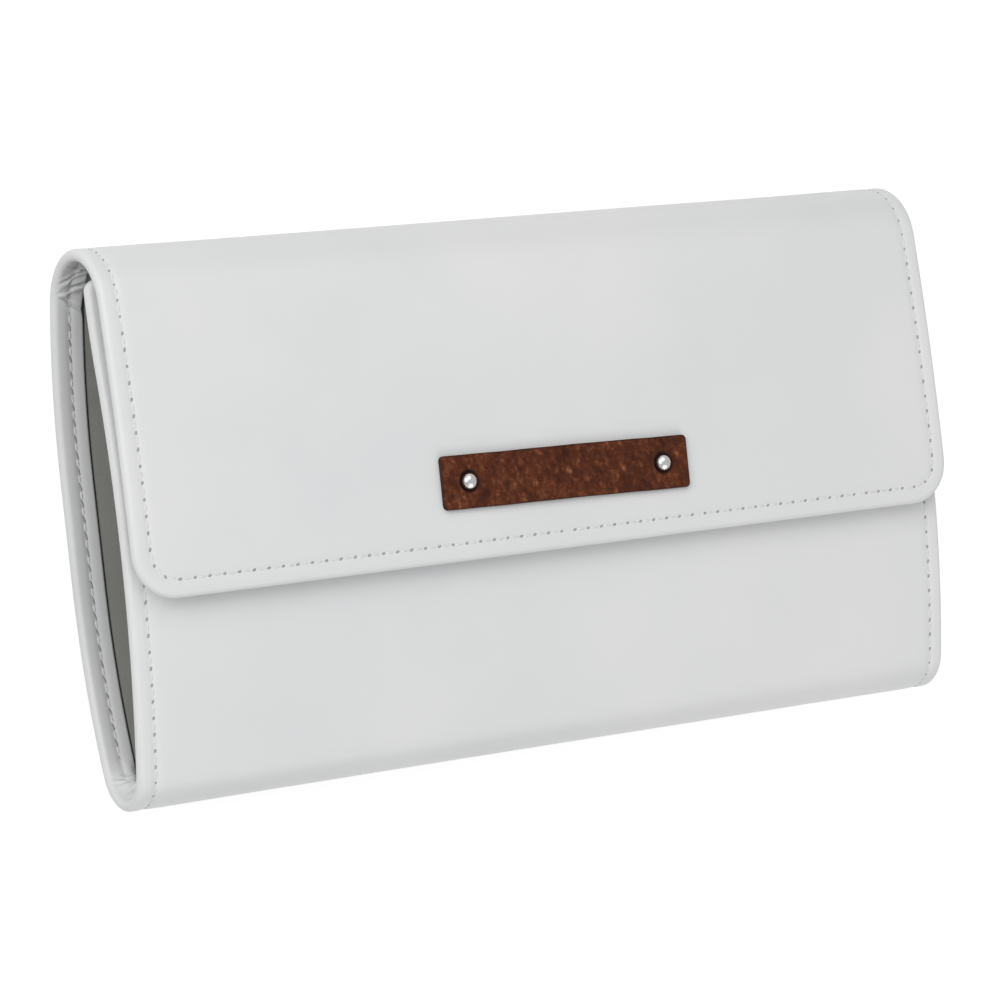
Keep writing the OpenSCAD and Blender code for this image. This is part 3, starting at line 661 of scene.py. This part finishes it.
class Shade:
    """A node material built step by step, on the rest place of each point."""

    def __init__(self, name):
        self.mat = bpy.data.materials.new(name)
        self.mat.use_nodes = True
        self.tree = self.mat.node_tree
        self.out = self.tree.nodes["Principled BSDF"]
        self.place = self.attribute("rest", "Vector")

    def set(self, **values):
        fill(self.out, **values)

    def link(self, a, b):
        self.tree.links.new(a, b)

    def attribute(self, name, output="Fac"):
        node = wired(self.tree, "Attribute")
        node.attribute_name = name
        return node.outputs[output]

    def noise(self, scale, detail=2.0, rough=0.5):
        node = wired(self.tree, "TexNoise", self.place, Scale=scale, Detail=detail, Roughness=rough)
        return node.outputs["Fac"]

    def cells(self, scale):
        return wired(self.tree, "TexVoronoi", self.place, Scale=scale).outputs["Distance"]

    def wave(self, scale, direction):
        node = wired(self.tree, "TexWave", self.place, Scale=scale)
        node.bands_direction = direction
        return node.outputs["Fac"]

    def ramp(self, value, stops):
        node = wired(self.tree, "ValToRGB", value)
        els = node.color_ramp.elements
        while len(els) < len(stops):
            els.new(0.5)
        for el, (at, colour) in zip(els, stops):
            el.position = at
            el.color = (*colour, 1.0)
        return node.outputs["Color"]

    def span(self, value, low, high, a=0.0, b=1.0):
        node = wired(self.tree, "MapRange", value, From_Min=a, From_Max=b, To_Min=low, To_Max=high)
        return node.outputs["Result"]

    def math(self, how, a, b):
        node = wired(self.tree, "Math", a)
        node.operation = how
        if isinstance(b, float):
            node.inputs[1].default_value = b
        else:
            self.link(b, node.inputs[1])
        return node.outputs["Value"]

    def mix(self, factor, base, colour):
        node = self.tree.nodes.new("ShaderNodeMix")
        node.data_type = "RGBA"
        self.link(factor, node.inputs["Factor"])
        self.link(base, node.inputs[6])
        node.inputs[7].default_value = (*colour, 1.0)
        return node.outputs[2]

    def colour(self, value):
        self.link(value, self.out.inputs["Base Color"])

    def roughness(self, value):
        self.link(value, self.out.inputs["Roughness"])

    def bump(self, height, distance, strength):
        node = wired(self.tree, "Bump", Strength=strength, Distance=distance)
        self.link(height, node.inputs["Height"])
        old = self.out.inputs["Normal"].links
        if old:
            self.link(old[0].from_socket, node.inputs["Normal"])
        self.link(node.outputs["Normal"], self.out.inputs["Normal"])


def srgb(r, g, b):
    def one(c):
        c /= 255.0
        return c / 12.92 if c <= 0.04045 else ((c + 0.055) / 1.055) ** 2.4
    return tuple(one(c) for c in (r, g, b))


def white_leather():
    m = Shade("white_leather")
    cloud = m.noise(16.0, 3.0)
    m.colour(m.ramp(cloud, [(0.3, srgb(228, 229, 230)), (0.7, srgb(234, 235, 234))]))
    pores = m.cells(1500.0)
    m.roughness(m.span(m.noise(420.0, 3.0), 0.36, 0.5))
    m.bump(pores, 0.00002, 0.35)
    m.bump(m.noise(260.0, 4.0, 0.55), 0.00004, 0.5)
    m.set(Specular_IOR_Level=0.42, Coat_Weight=0.12, Coat_Roughness=0.28)
    return m.mat


def white_thread():
    m = Shade("white_thread")
    m.colour(m.ramp(m.noise(2500.0), [(0.3, srgb(222, 223, 222)), (0.7, srgb(240, 240, 238))]))
    m.roughness(m.span(m.noise(3000.0), 0.5, 0.75))
    m.bump(m.wave(900.0, "DIAGONAL"), 0.00004, 0.5)
    return m.mat


# grey of the needle holes: painted shade, on lenses that lie on the leather
def painted_hole_shade():
    m = Shade("painted_hole_shade")
    m.colour(m.ramp(m.noise(1800.0), [(0.3, srgb(158, 159, 156)), (0.7, srgb(184, 185, 182))]))
    m.roughness(m.span(m.noise(900.0), 0.8, 0.95))
    return m.mat


def suede(name, dark, light, scale=1.0):
    m = Shade(name)
    nap = m.noise(34.0 * scale, 4.0, 0.6)
    fibre = m.noise(2600.0, 3.0, 0.7)
    base = m.ramp(nap, [(0.32, dark), (0.68, light)])
    base = m.mix(m.span(fibre, 0.0, 0.5, 0.3, 0.8), base, tuple(c * 0.72 for c in dark))
    # painted shade: the lining goes nearly black where it tucks under the hem
    m.colour(m.mix(m.attribute("edge"), base, tuple(c * 0.12 for c in dark)))
    m.roughness(m.span(fibre, 0.85, 0.98))
    m.bump(fibre, 0.00012, 0.6)
    m.bump(m.noise(300.0, 3.0), 0.0001, 0.4)
    m.set(Specular_IOR_Level=0.2, Sheen_Weight=0.3, Sheen_Roughness=0.5)
    return m.mat


def metal(name, bright, rough):
    m = Shade(name)
    m.colour(m.ramp(m.noise(600.0, 3.0), [(0.25, tuple(c * 0.93 for c in bright)), (0.75, bright)]))
    m.roughness(m.span(m.noise(900.0, 4.0), rough * 0.7, rough * 1.5))
    m.bump(m.noise(1600.0, 2.0), 0.000002, 0.25)
    m.set(Metallic=1.0)
    return m.mat


def brown_leather():
    """Pebbled brown leather: the pebble mark holds the height of each pebble and random patches, painted as
    lighter pebble tops (painted highlight) and darker furrows (painted shade), and darker round the rivets
    (painted shade); edge holds how far the edge dye reaches, and the painted shadow in the ring round each
    rivet.
    """
    m = Shade("brown_leather")
    height = m.math("MULTIPLY", m.attribute("tone"), 0.75)
    # painted light: pebble tops lighter as painted highlight and furrows darker as painted shade, over random
    # mottle
    light_and_mottle = m.math("ADD", height, m.span(m.noise(900.0, 4.0), -0.1, 0.35))
    base = m.ramp(light_and_mottle, [(0.1, srgb(60, 22, 8)), (0.38, srgb(86, 40, 18)),
                         (0.62, srgb(114, 62, 36)), (0.95, srgb(160, 108, 80))])
    # edge dye along the border, and the painted shadow in the ring round each rivet
    m.colour(m.mix(m.attribute("edge"), base, srgb(38, 15, 9)))
    m.roughness(m.span(m.noise(700.0, 3.0), 0.5, 0.68))
    m.bump(m.noise(2400.0, 3.0, 0.6), 0.00005, 0.5)
    m.set(Specular_IOR_Level=0.22)
    return m.mat


def woven_tape():
    m = Shade("zip_tape")
    weave = m.math("MULTIPLY", m.wave(420.0, "X"), m.wave(420.0, "Y"))
    m.colour(m.ramp(weave, [(0.1, srgb(104, 103, 99)), (0.8, srgb(142, 141, 136))]))
    m.roughness(m.span(weave, 0.92, 0.8))
    m.bump(weave, 0.0001, 0.8)
    m.set(Sheen_Weight=0.2)
    return m.mat


# ------------------------ label and rivets
LABEL_L, LABEL_H, LABEL_T, LABEL_UP, RIVET_PITCH, RIVET_R = 72.5, 13.4, 1.3, 19.0, 57.4, 2.1
LABEL_X, LABEL_TURN = 0.9, -1.0  # how far the label sits to the right, and its turn in degrees
LABEL_CORNER, LABEL_STEP, LABEL_CROWN, LABEL_UNDER = 1.2, 0.3, 0.1, -0.25
LABEL_S = s_of_y(FLAP_END + LABEL_UP, SEAMS[6], S_END)


def on_flap(u, v, h):
    """Point on the flap: u along the label, v across it, h above the leather."""
    u, v = np.asarray(u, float), np.asarray(v, float)
    y, z, _, _ = strip(LABEL_S - (v * cos(LABEL_TURN) + u * sin(LABEL_TURN)), -np.asarray(h, float))
    return points_of(LABEL_X + u * cos(LABEL_TURN) - v * sin(LABEL_TURN), y, z)


def wander(u, v, seed, size):
    """Smooth random waves from about -1 to 1, some size across."""
    rng = np.random.default_rng(seed)
    total, waves = np.zeros(np.shape(u)), 9
    for _ in range(waves):
        fu, fv = rng.normal(0, 1, 2) * 2 * np.pi / size
        total = total + np.sin(fu * u + fv * v + rng.uniform(0, PHASE)) / math.sqrt(waves)
    return total


def pebbles(u, v, seed, spacing):
    """Height of pebbled grain from 0 in the furrows to 1 on top of the pebbles."""
    rng = np.random.default_rng(seed)
    du, dv = wander(u, v, seed + 50, 2.6 * spacing), wander(u, v, seed + 60, 2.6 * spacing)
    u, v = u + 0.3 * spacing * du, v + 0.3 * spacing * dv
    nu, nv = int(LABEL_L / spacing) + 4, int(LABEL_H / spacing) + 4
    gu, gv = np.meshgrid(np.arange(nu) - 2.0, np.arange(nv) - 2.0, indexing="ij")
    cu = (gu + rng.uniform(0, 1, gu.shape)) * spacing - LABEL_L / 2
    cv = (gv + rng.uniform(0, 1, gv.shape)) * spacing - LABEL_H / 2
    lift = rng.uniform(0.3, 1.0, gu.shape).ravel()
    d = np.hypot(u[:, None] - cu.ravel()[None], v[:, None] - cv.ravel()[None]) / spacing
    order = np.argsort(d, axis=1)[:, :2]
    near, next_near = np.take_along_axis(d, order, axis=1).T
    share = np.clip((next_near - near) * 1.1, 0, 1)
    height = lift[order[:, 0]] * (0.5 + 0.5 * share) + lift[order[:, 1]] * (0.5 - 0.5 * share)
    return height * (0.35 + 0.65 * share)


def label_outline(u, v):
    """Draws the corners of the label's grid in onto their arcs, and tells how far each point is inside."""
    half_l, half_h, r = LABEL_L / 2, LABEL_H / 2, LABEL_CORNER
    du, dv = half_l - np.abs(u), half_h - np.abs(v)
    corner = (du < r) & (dv < r)
    a, b = (r - du[corner]) / r, (r - dv[corner]) / r
    u2, v2 = u.copy(), v.copy()
    u2[corner] = np.sign(u[corner]) * (half_l - r + r * a * np.sqrt(1 - b * b / 2))
    v2[corner] = np.sign(v[corner]) * (half_h - r + r * b * np.sqrt(1 - a * a / 2))
    qu, qv = np.maximum(np.abs(u2) - (half_l - r), 0), np.maximum(np.abs(v2) - (half_h - r), 0)
    straight = np.minimum(half_l - np.abs(u2), half_h - np.abs(v2))
    return u2, v2, np.maximum(np.where((qu > 0) | (qv > 0), r - np.hypot(qu, qv), straight), 0)


def label_piece(mat):
    half_l, half_h, r = LABEL_L / 2, LABEL_H / 2, LABEL_CORNER
    ring = np.array([0, 0.12, 0.3, 0.55, 0.85, r])
    us, vs = (np.unique(np.round(np.concatenate([
        -half + ring[:-1], np.arange(-half + r, half - 1.1, LABEL_STEP), half - ring[::-1]]), 3))
        for half in (half_l, half_h))
    u, v, faces = grid(us, vs)
    u, v, inside = label_outline(u, v)
    # the long edges aren't quite straight
    v = v + (0.1 * np.sin(u * 0.11 + 1.0) + 0.04 * np.sin(u * 0.43)) * np.clip(np.abs(v) / half_h, 0, 1) * 0.6
    grain, fine = pebbles(u, v, 21, 1.55), pebbles(u, v, 22, 0.8)
    # press: how deep the rivets push the leather in; and a mask of how far the painted shadow in the ring
    # round each rivet reaches
    press, painted_rivet_shade = np.zeros(len(u)), np.zeros(len(u))
    for side in (-1, 1):
        rr = np.hypot(u - side * RIVET_PITCH / 2, v)
        press = press + 0.5 * np.clip((3.0 - rr) / 0.7, 0, 1) + 0.22 * np.exp(-(rr / 4.6) ** 2)
        painted_rivet_shade = np.maximum(painted_rivet_shade, np.clip((3.1 - rr) / 0.55, 0, 1))
    edge_drop = turned(inside, 0.5) * 0.8 + 0.12 * np.exp(-((inside - 0.9) / 0.5) ** 2)
    soften = ramped(inside, 0.3, 1.2)
    top = LABEL_T + LABEL_CROWN - edge_drop - press + (0.32 * (grain - 0.6) + 0.1 * (fine - 0.4)) * soften
    lift = 0.12 * np.clip((half_l - 5 - np.abs(u)) / 24, 0, 1)
    verts, allf, _ = slab(u, v, faces, on_flap(u, v, top + lift), on_flap(u, v, np.full(len(u), LABEL_UNDER)))
    obj = mesh_piece("label_leather", verts, allf, mat)
    patch = 0.1 * wander(u, v, 31, 9.0) + 0.1 * wander(u, v, 32, 3.2)
    # pebble heights for the painted highlights and shade, random patches of mottle, and painted shade round
    # the rivets
    tone = np.clip(0.75 * grain + 0.45 * fine + patch - 0.08, 0, 1) * (1 - 0.9 * painted_rivet_shade)
    # edge dye along the label's border, and the painted shadow in the ring round each rivet
    edge = np.clip((0.42 - inside) / 0.3, 0, 1) * 0.6 + 0.95 * painted_rivet_shade
    mark(obj, "tone", np.concatenate([tone, np.zeros(len(u))]))
    mark(obj, "edge", np.clip(np.concatenate([edge, np.ones(len(u))]), 0, 1))
    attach(finish_piece(obj, ["label"]), "flap")


def rivets(mat):
    """Domed rivets, pressed a little into the label. Their shanks run down through the flap."""
    shank_r, shank_end, dome_h, sunk = 1.1, -1.2, 1.75, 0.55
    h0 = LABEL_T + LABEL_CROWN - sunk
    foot = h0 + 0.18
    rim = RIVET_R + 0.02
    dome = [(0.0, shank_end), (shank_r, shank_end), (shank_r, h0 - 0.1), (2.02, h0 - 0.02),
            (rim, h0 + 0.06), (rim, h0 + 0.16)]
    dome += [(RIVET_R * cos(a), foot + dome_h * sin(a)) for a in (8, 18, 28, 38, 48, 58, 68, 79)]
    dome.append((0.0, foot + dome_h))
    for side, node in ((-1, "rivet_left"), (1, "rivet_right")):
        b = Build()
        b.lathe(dome, lambda p: tuple(on_flap(side * RIVET_PITCH / 2 + p[0], p[1], p[2])), sides=48)
        obj = b.piece(node + "_dome", mat)
        finish_piece(obj, [node])
        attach(obj, "flap")


# ------------------------ pockets and zips on the back panel
def seam_rows(points, place, threads, depth, radius=0.2, pitch=2.6):
    """Sewn dashes along a line in (x, s), which dive into the material at both ends."""
    (x0, s0), (x1, s1) = points
    length = math.hypot(x1 - x0, s1 - s0)
    for k in range(int(length / pitch)):
        t = (np.linspace(0.12, 0.88, 5) + k) * pitch / length
        u = np.linspace(-1, 1, 5)
        d = depth + 0.1 * (1 - u * u) - 0.14 * np.abs(u) ** 3
        line = place(x0 + (x1 - x0) * t, s0 + (s1 - s0) * t, d)
        threads.tube(line, radius * np.array([0.5, 0.95, 1, 0.95, 0.5]), sides=6)


SEAM_IN = 2.1  # distance of a pocket's seams from its edge


def pocket_panel(tag, y_low, y_high, open_low, open_high, mat, threads):
    s_low, s_high = s_of_y(y_low, SEAMS[2], SEAMS[5]), s_of_y(y_high, SEAMS[2], SEAMS[5])
    half = POCKET_W / 2
    e_rows = [0, 0.08, 0.3, 0.6, 0.95, 1.4, 1.8, SEAM_IN, 2.4, 2.9, 3.8, 5.2]
    xs = np.concatenate([[-half + e for e in e_rows], np.arange(-half + 9, half - 8, 4.0),
                         [half - e for e in e_rows[::-1]]])
    # a narrow panel has no room for all the edge rows
    e_short = [e for e in e_rows if e < (s_high - s_low) / 2 - 0.4]
    ss = np.concatenate([[s_low + e for e in e_short],
                         np.linspace(s_low + e_short[-1], s_high - e_short[-1], 11)[1:-1],
                         [s_high - e for e in e_short[::-1]]])
    x, s, faces = grid(xs, ss)
    ex, elow, ehigh = half - np.abs(x), s - s_low, s_high - s
    e = np.minimum(np.minimum(ex, elow), ehigh)
    far = 99  # an open edge isn't sewn down
    sewn = np.minimum(np.minimum(ex, np.where(open_low, far, elow)), np.where(open_high, far, ehigh))
    d = TAPE_TOP + 0.1 - turned(e, 0.9) - 0.3 * bump(e, SEAM_IN, 0.45)
    d = d - 0.75 * np.clip((4.5 - sewn) / 4.5, 0, 1) ** 1.5
    d = d + 0.3 * swell(x, s, 17, 50.0) * ramped(sewn, 0, 15)
    verts, allf, _ = slab(x, s, faces, on_strip(x, s, d), on_strip(x, s, LINING_TOP - 0.1))
    obj = mesh_piece("pocket_" + tag + "_panel", verts, allf, mat)
    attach(finish_piece(obj, ["pocket_" + tag]), "back")
    row, sewn_down = TAPE_TOP - 0.16, 0.28
    low, high, wide = s_low + SEAM_IN, s_high - SEAM_IN, half - SEAM_IN
    for sy, is_open in ((low, open_low), (high, open_high)):
        seam_rows([(-wide, sy), (wide, sy)], on_strip, threads, row - (0.0 if is_open else sewn_down))
    for x0 in (-wide, wide):
        seam_rows([(x0, low), (x0, high)], on_strip, threads, row - sewn_down)


# profile of the tape across the zip, and of one tooth from the tape inwards
TAPE_V = np.array([-4.9, -4.6, -2.6, -2.3, -0.5, 0.5, 2.3, 2.6, 4.6, 4.9])
TAPE_D = TAPE_TOP - np.array([0.3, 0.12, 0.05, 0.0, 0.0, 0.0, 0.0, 0.05, 0.12, 0.3])
TAPE_UNDER = TAPE_TOP - 0.8
TOOTH_V = np.array([2.15, 2.0, 1.2, 0.1, -0.45, -0.62])
TOOTH_H = TAPE_TOP + 0.05 + np.array([0.3, 0.62, 0.72, 0.74, 0.74, 0.74])
TOOTH_R = np.array([0.2, 0.42, 0.42, 0.4, 0.5, 0.3])
TOOTH_PITCH, TAPE_COLS = 1.6, 111


def zip_parts(tag, y, tape_mat, tooth_mat):
    s = s_of_y(y, SEAMS[2], SEAMS[5])
    xs = np.linspace(-POCKET_W / 2, POCKET_W / 2, TAPE_COLS)
    x, across, faces = grid(xs, TAPE_V)
    top, low = (on_strip(x, s + across, d) for d in (np.tile(TAPE_D, len(xs)), TAPE_UNDER))
    verts, allf, _ = slab(x, across, faces, top, low)
    obj = mesh_piece("tape_" + tag + "_weave", verts, allf, tape_mat, smooth=False)
    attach(finish_piece(obj, ["tape_" + tag]), "back")
    teeth = Build()
    for k in range(int(CHAIN_L / TOOTH_PITCH)):
        for side in (-1, 1):
            at = -CHAIN_L / 2 + (k + 0.5 + (0.25 if side > 0 else -0.25)) * TOOTH_PITCH
            line = on_strip(np.full(len(TOOTH_V), at), s + side * TOOTH_V, TOOTH_H)
            teeth.tube(line, TOOTH_R, sides=6, squash=1.5)
    obj = teeth.piece("chain_" + tag + "_teeth", tooth_mat)
    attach(finish_piece(obj, ["chain_" + tag]), "back")


# ------------------------ ring bar
ROLL_END, ROLL_SIDES, END_STEPS, MIDDLE_STEPS = 4.2, 48, 10, 96  # the roll's ends are drawn in over ROLL_END
BUTTON = [(0.0, 0.0), (2.3, 0.0), (2.6, 0.25), (2.3, 0.6), (1.4, 0.85), (0.0, 0.95)]


def ring_roll(mat):
    """Padded roll, flattened under its strap, with drawn-in ends that a button closes."""
    strap_bottom = STRAP_Z - STRAP_T
    r, half = ROLL_D / 2, ROLL_L / 2
    flat = r - math.sqrt(r * r - (STRAP_W * 0.35) ** 2)
    zc = strap_bottom - r + flat
    rounding = ROLL_END * (1 - np.cos(np.linspace(0, np.pi / 2, END_STEPS)))
    middle = np.linspace(-half + ROLL_END, half - ROLL_END, MIDDLE_STEPS)[1:-1]
    xs = np.concatenate([-half + rounding, middle, half - rounding[::-1]])
    phase = np.random.default_rng(4).uniform(0, PHASE, 8)
    a = np.linspace(0, 2 * np.pi, ROLL_SIDES, endpoint=False)
    rows = []
    for x in xs:
        depth = max(0.0, (ROLL_END - (half - abs(x))) / ROLL_END)
        scale = math.sqrt(max(0.0, 1 - depth ** 2)) * 0.985 + 0.012
        ripple = 0.006 * np.sin(0.31 * x + phase[0] + np.cos(a))
        ripple = ripple + 0.004 * np.sin(0.77 * x + 2 * a + phase[1])
        pleats = np.cos(11 * a + phase[2])
        drawn = 0.05 * depth * pleats + 0.012 * max(0, 1 - (half - abs(x)) / 16) * pleats
        rr = r * scale * (0.985 + ripple + drawn)
        z = np.minimum(zc + rr * np.sin(a), strap_bottom - 0.06)
        rows.append(points_of(x, BAR_Y + rr * np.cos(a), z))
    obj = mesh_piece("ring_roll_padding", np.concatenate(rows), tube_faces(len(xs), ROLL_SIDES), mat)
    finish_piece(obj, ["bar_roll"])
    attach(obj, "ring_bar")
    for side, end in ((-1, "left"), (1, "right")):
        b = Build()
        b.lathe(BUTTON, lambda p: (side * (half - 0.75 + p[2]), BAR_Y + p[0], zc + side * p[1]), sides=24)
        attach(finish_piece(b.piece("ring_roll_end_" + end, mat)), "ring_bar")


def strap_seams(mat):
    b = Build()
    for v in (-STRAP_W / 2 + 1.6, STRAP_W / 2 - 1.6):
        seam_rows([(BAR_PIVOT_X, v), (-BAR_PIVOT_X, v)], lambda x, v, d: points_of(x, BAR_Y + v, STRAP_Z + d),
                  b, -0.1, radius=0.17, pitch=2.8)
    obj = b.piece("strap_stitching", mat)
    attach(finish_piece(obj), "ring_bar")


def earring_seams(mat):
    b = Build()
    low, high = s_of_y(STRIP_END, *SEAMS[:2]) + 2.0, s_of_y(STRIP_START, *SEAMS[:2]) - 2.0
    wide, depth = STRIP_L / 2 - 2, WALL_T + 0.05 + STRIP_T + 0.02
    for s in (low, high):
        seam_rows([(-wide, s), (wide, s)], on_strip, b, depth)
    for x in (-wide, wide):
        seam_rows([(x, low), (x, high)], on_strip, b, depth)
    obj = b.piece("earring_strip_stitching", mat)
    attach(finish_piece(obj), "back")


# ------------------------ floor, lights and camera, in metres
FLOOR_HALF, FLOOR_Z, FLOOR_GREY, FLOOR_GLOW = 3, -0.0002, 0.45, 0.76
WORLD_LIGHT, WORLD_SEEN = 0.47, 1.0
# name, place, size and power of each lamp; all point at the origin
LAMPS = (
    ("key", (-0.25, 1.0, 1.1), 1.2, 4.4),
    ("low", (0.25, -1.25, 0.85), 1.1, 5.2),
    ("left", (-1.15, 0.5, 0.9), 1.0, 8.0),
)
# fitted to the outline in the photo: turns in degrees, distance in metres, focal length in pixels of 1000
YAW, PITCH, ROLL, FAR, FOCAL = 30.99, 0.95, -6.26, 0.984, 3884.0
TARGET = Vector((-0.0073, -0.0039, 0.018))
SENSOR = 36.0


def white_floor():
    """Pale floor that takes shadows, and glows only for rays that see it."""
    h, z = FLOOR_HALF, FLOOR_Z
    me = bpy.data.meshes.new("floor")
    me.from_pydata([(-h, -h, z), (h, -h, z), (h, h, z), (-h, h, z)], [], [[0, 1, 2, 3]])
    floor = put("floor", me)
    mat = bpy.data.materials.new("floor_white")
    mat.use_nodes = True
    tree = mat.node_tree
    bsdf = tree.nodes["Principled BSDF"]
    fill(bsdf, Base_Color=(FLOOR_GREY, FLOOR_GREY, FLOOR_GREY, 1), Roughness=0.9, Specular_IOR_Level=0.0)
    rays = wired(tree, "LightPath").outputs
    seen = rays["Is Camera Ray"]
    for kind in ("Is Glossy Ray", "Is Transmission Ray"):
        either = wired(tree, "Math", seen, rays[kind])
        either.operation = "MAXIMUM"
        seen = either.outputs[0]
    none = wired(tree, "Emission", Strength=0.0)
    glow = wired(tree, "Emission", Strength=FLOOR_GLOW)
    pick = wired(tree, "MixShader", seen, none.outputs[0], glow.outputs[0])
    add = wired(tree, "AddShader", bsdf.outputs[0], pick.outputs[0])
    tree.links.new(add.outputs[0], tree.nodes["Material Output"].inputs["Surface"])
    me.materials.append(mat)


def studio():
    """Soft light from all sides, behind a background that the camera sees white, and three lamps."""
    world = bpy.data.worlds.new("studio")
    bpy.context.scene.world = world
    world.use_nodes = True
    tree = world.node_tree
    soft = tree.nodes["Background"]
    fill(soft, Color=(1.0, 1.0, 1.0, 1), Strength=WORLD_LIGHT)
    white = wired(tree, "Background", Color=(1.0, 1.0, 1.0, 1), Strength=WORLD_SEEN)
    seen = wired(tree, "LightPath").outputs["Is Camera Ray"]
    pick = wired(tree, "MixShader", seen, soft.outputs[0], white.outputs[0])
    tree.links.new(pick.outputs[0], tree.nodes["World Output"].inputs["Surface"])
    for name, place, size, power in LAMPS:
        light = bpy.data.lights.new(name, "AREA")
        light.shape, light.size, light.energy = "DISK", size, power
        obj = put(name, light)
        obj.location = place
        obj.rotation_euler = (-Vector(place)).to_track_quat("-Z", "Y").to_euler()


def photo_camera():
    f = Vector((sin(YAW) * cos(PITCH), -sin(PITCH), -cos(YAW) * cos(PITCH)))
    r = f.cross(Vector((0, 1, 0))).normalized()
    u = r.cross(f)
    right, up = cos(ROLL) * r + sin(ROLL) * u, -sin(ROLL) * r + cos(ROLL) * u
    cam = bpy.data.cameras.new("photo")
    cam.sensor_fit, cam.sensor_width = "HORIZONTAL", SENSOR
    cam.lens = FOCAL / 1000 * SENSOR
    cam.clip_start, cam.clip_end = 0.05, 20
    obj = put("photo_camera", cam)
    obj.matrix_world = Matrix.Translation(TARGET - f * FAR) @ Matrix((right, up, -f)).transposed().to_4x4()
    bpy.context.scene.camera = obj


# ------------------------ the whole wallet
leather, lining_suede = white_leather(), suede("grey_suede", srgb(160, 161, 155), srgb(172, 173, 166))
for number in range(len(PANELS)):
    leather_panel(number, leather)
    lining_panel(number, lining_suede)
stitching(white_thread(), painted_hole_shade())
label_piece(brown_leather())
rivets(metal("rivet_chrome", (0.95, 0.95, 0.93), 0.22))
steel = metal("steel", (0.62, 0.62, 0.61), 0.35)
nickel = metal("zip_nickel", (0.72, 0.72, 0.70), 0.24)
teeth_metal = metal("zip_teeth", (0.66, 0.66, 0.64), 0.3)
snap_metal = metal("snap_nickel", (0.74, 0.74, 0.73), 0.2)
pocket_suede = suede("pocket_suede", srgb(142, 142, 136), srgb(158, 158, 152), 1.6)
bar_suede = suede("bar_suede", srgb(138, 138, 132), srgb(156, 156, 150), 2.2)
bar_leather = suede("bar_leather", srgb(122, 121, 116), srgb(140, 139, 134), 2.6)
grey_thread = suede("grey_thread", srgb(150, 149, 145), srgb(172, 171, 167), 8.0)
pocket_threads = Build()
for tag, y_low, y_high, open_low, open_high in (
    ("low", POCKET_START, LOW_ZIP_Y - TAPE_W / 2, False, True),
    ("mid", LOW_ZIP_Y + TAPE_W / 2, TOP_ZIP_Y - TAPE_W / 2, True, True),
    ("top", TOP_ZIP_Y + TAPE_W / 2, POCKET_END, True, False),
):
    pocket_panel(tag, y_low, y_high, open_low, open_high, pocket_suede, pocket_threads)
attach(finish_piece(pocket_threads.piece("pocket_stitching", grey_thread)), "back")
tape_weave = woven_tape()
zip_parts("low", LOW_ZIP_Y, tape_weave, teeth_metal)
zip_parts("top", TOP_ZIP_Y, tape_weave, teeth_metal)
for node in ("stops_low", "stops_top", "slider_low", "slider_top", "pull_low", "pull_top"):
    softened(node, node + "_cast", nickel, 0.22)
for node in ("snap_socket", "snap_stud", "bar_keeper", "bar_magnet"):
    softened(node, node + "_turned", snap_metal, 0.18)
softened("bar_rivet", "bar_rivet_turned", steel, 0.2)
softened("earring_strip", "earring_strip_suede", pocket_suede, 0.25)
softened("bar_anchor", "bar_anchor_leather", bar_leather, 0.15)
softened("bar_strap", "bar_strap_leather", bar_leather, 0.35, 3)
ring_roll(bar_suede)
strap_seams(grey_thread)
earring_seams(grey_thread)
for node in ("burrs", "socket_washer", "stud_washer"):
    obj = frame["nodes"][node]
    obj.data.materials.clear()
    obj.data.materials.append(steel)
white_floor()
studio()
photo_camera()
bpy.context.scene.view_settings.view_transform = "Standard"
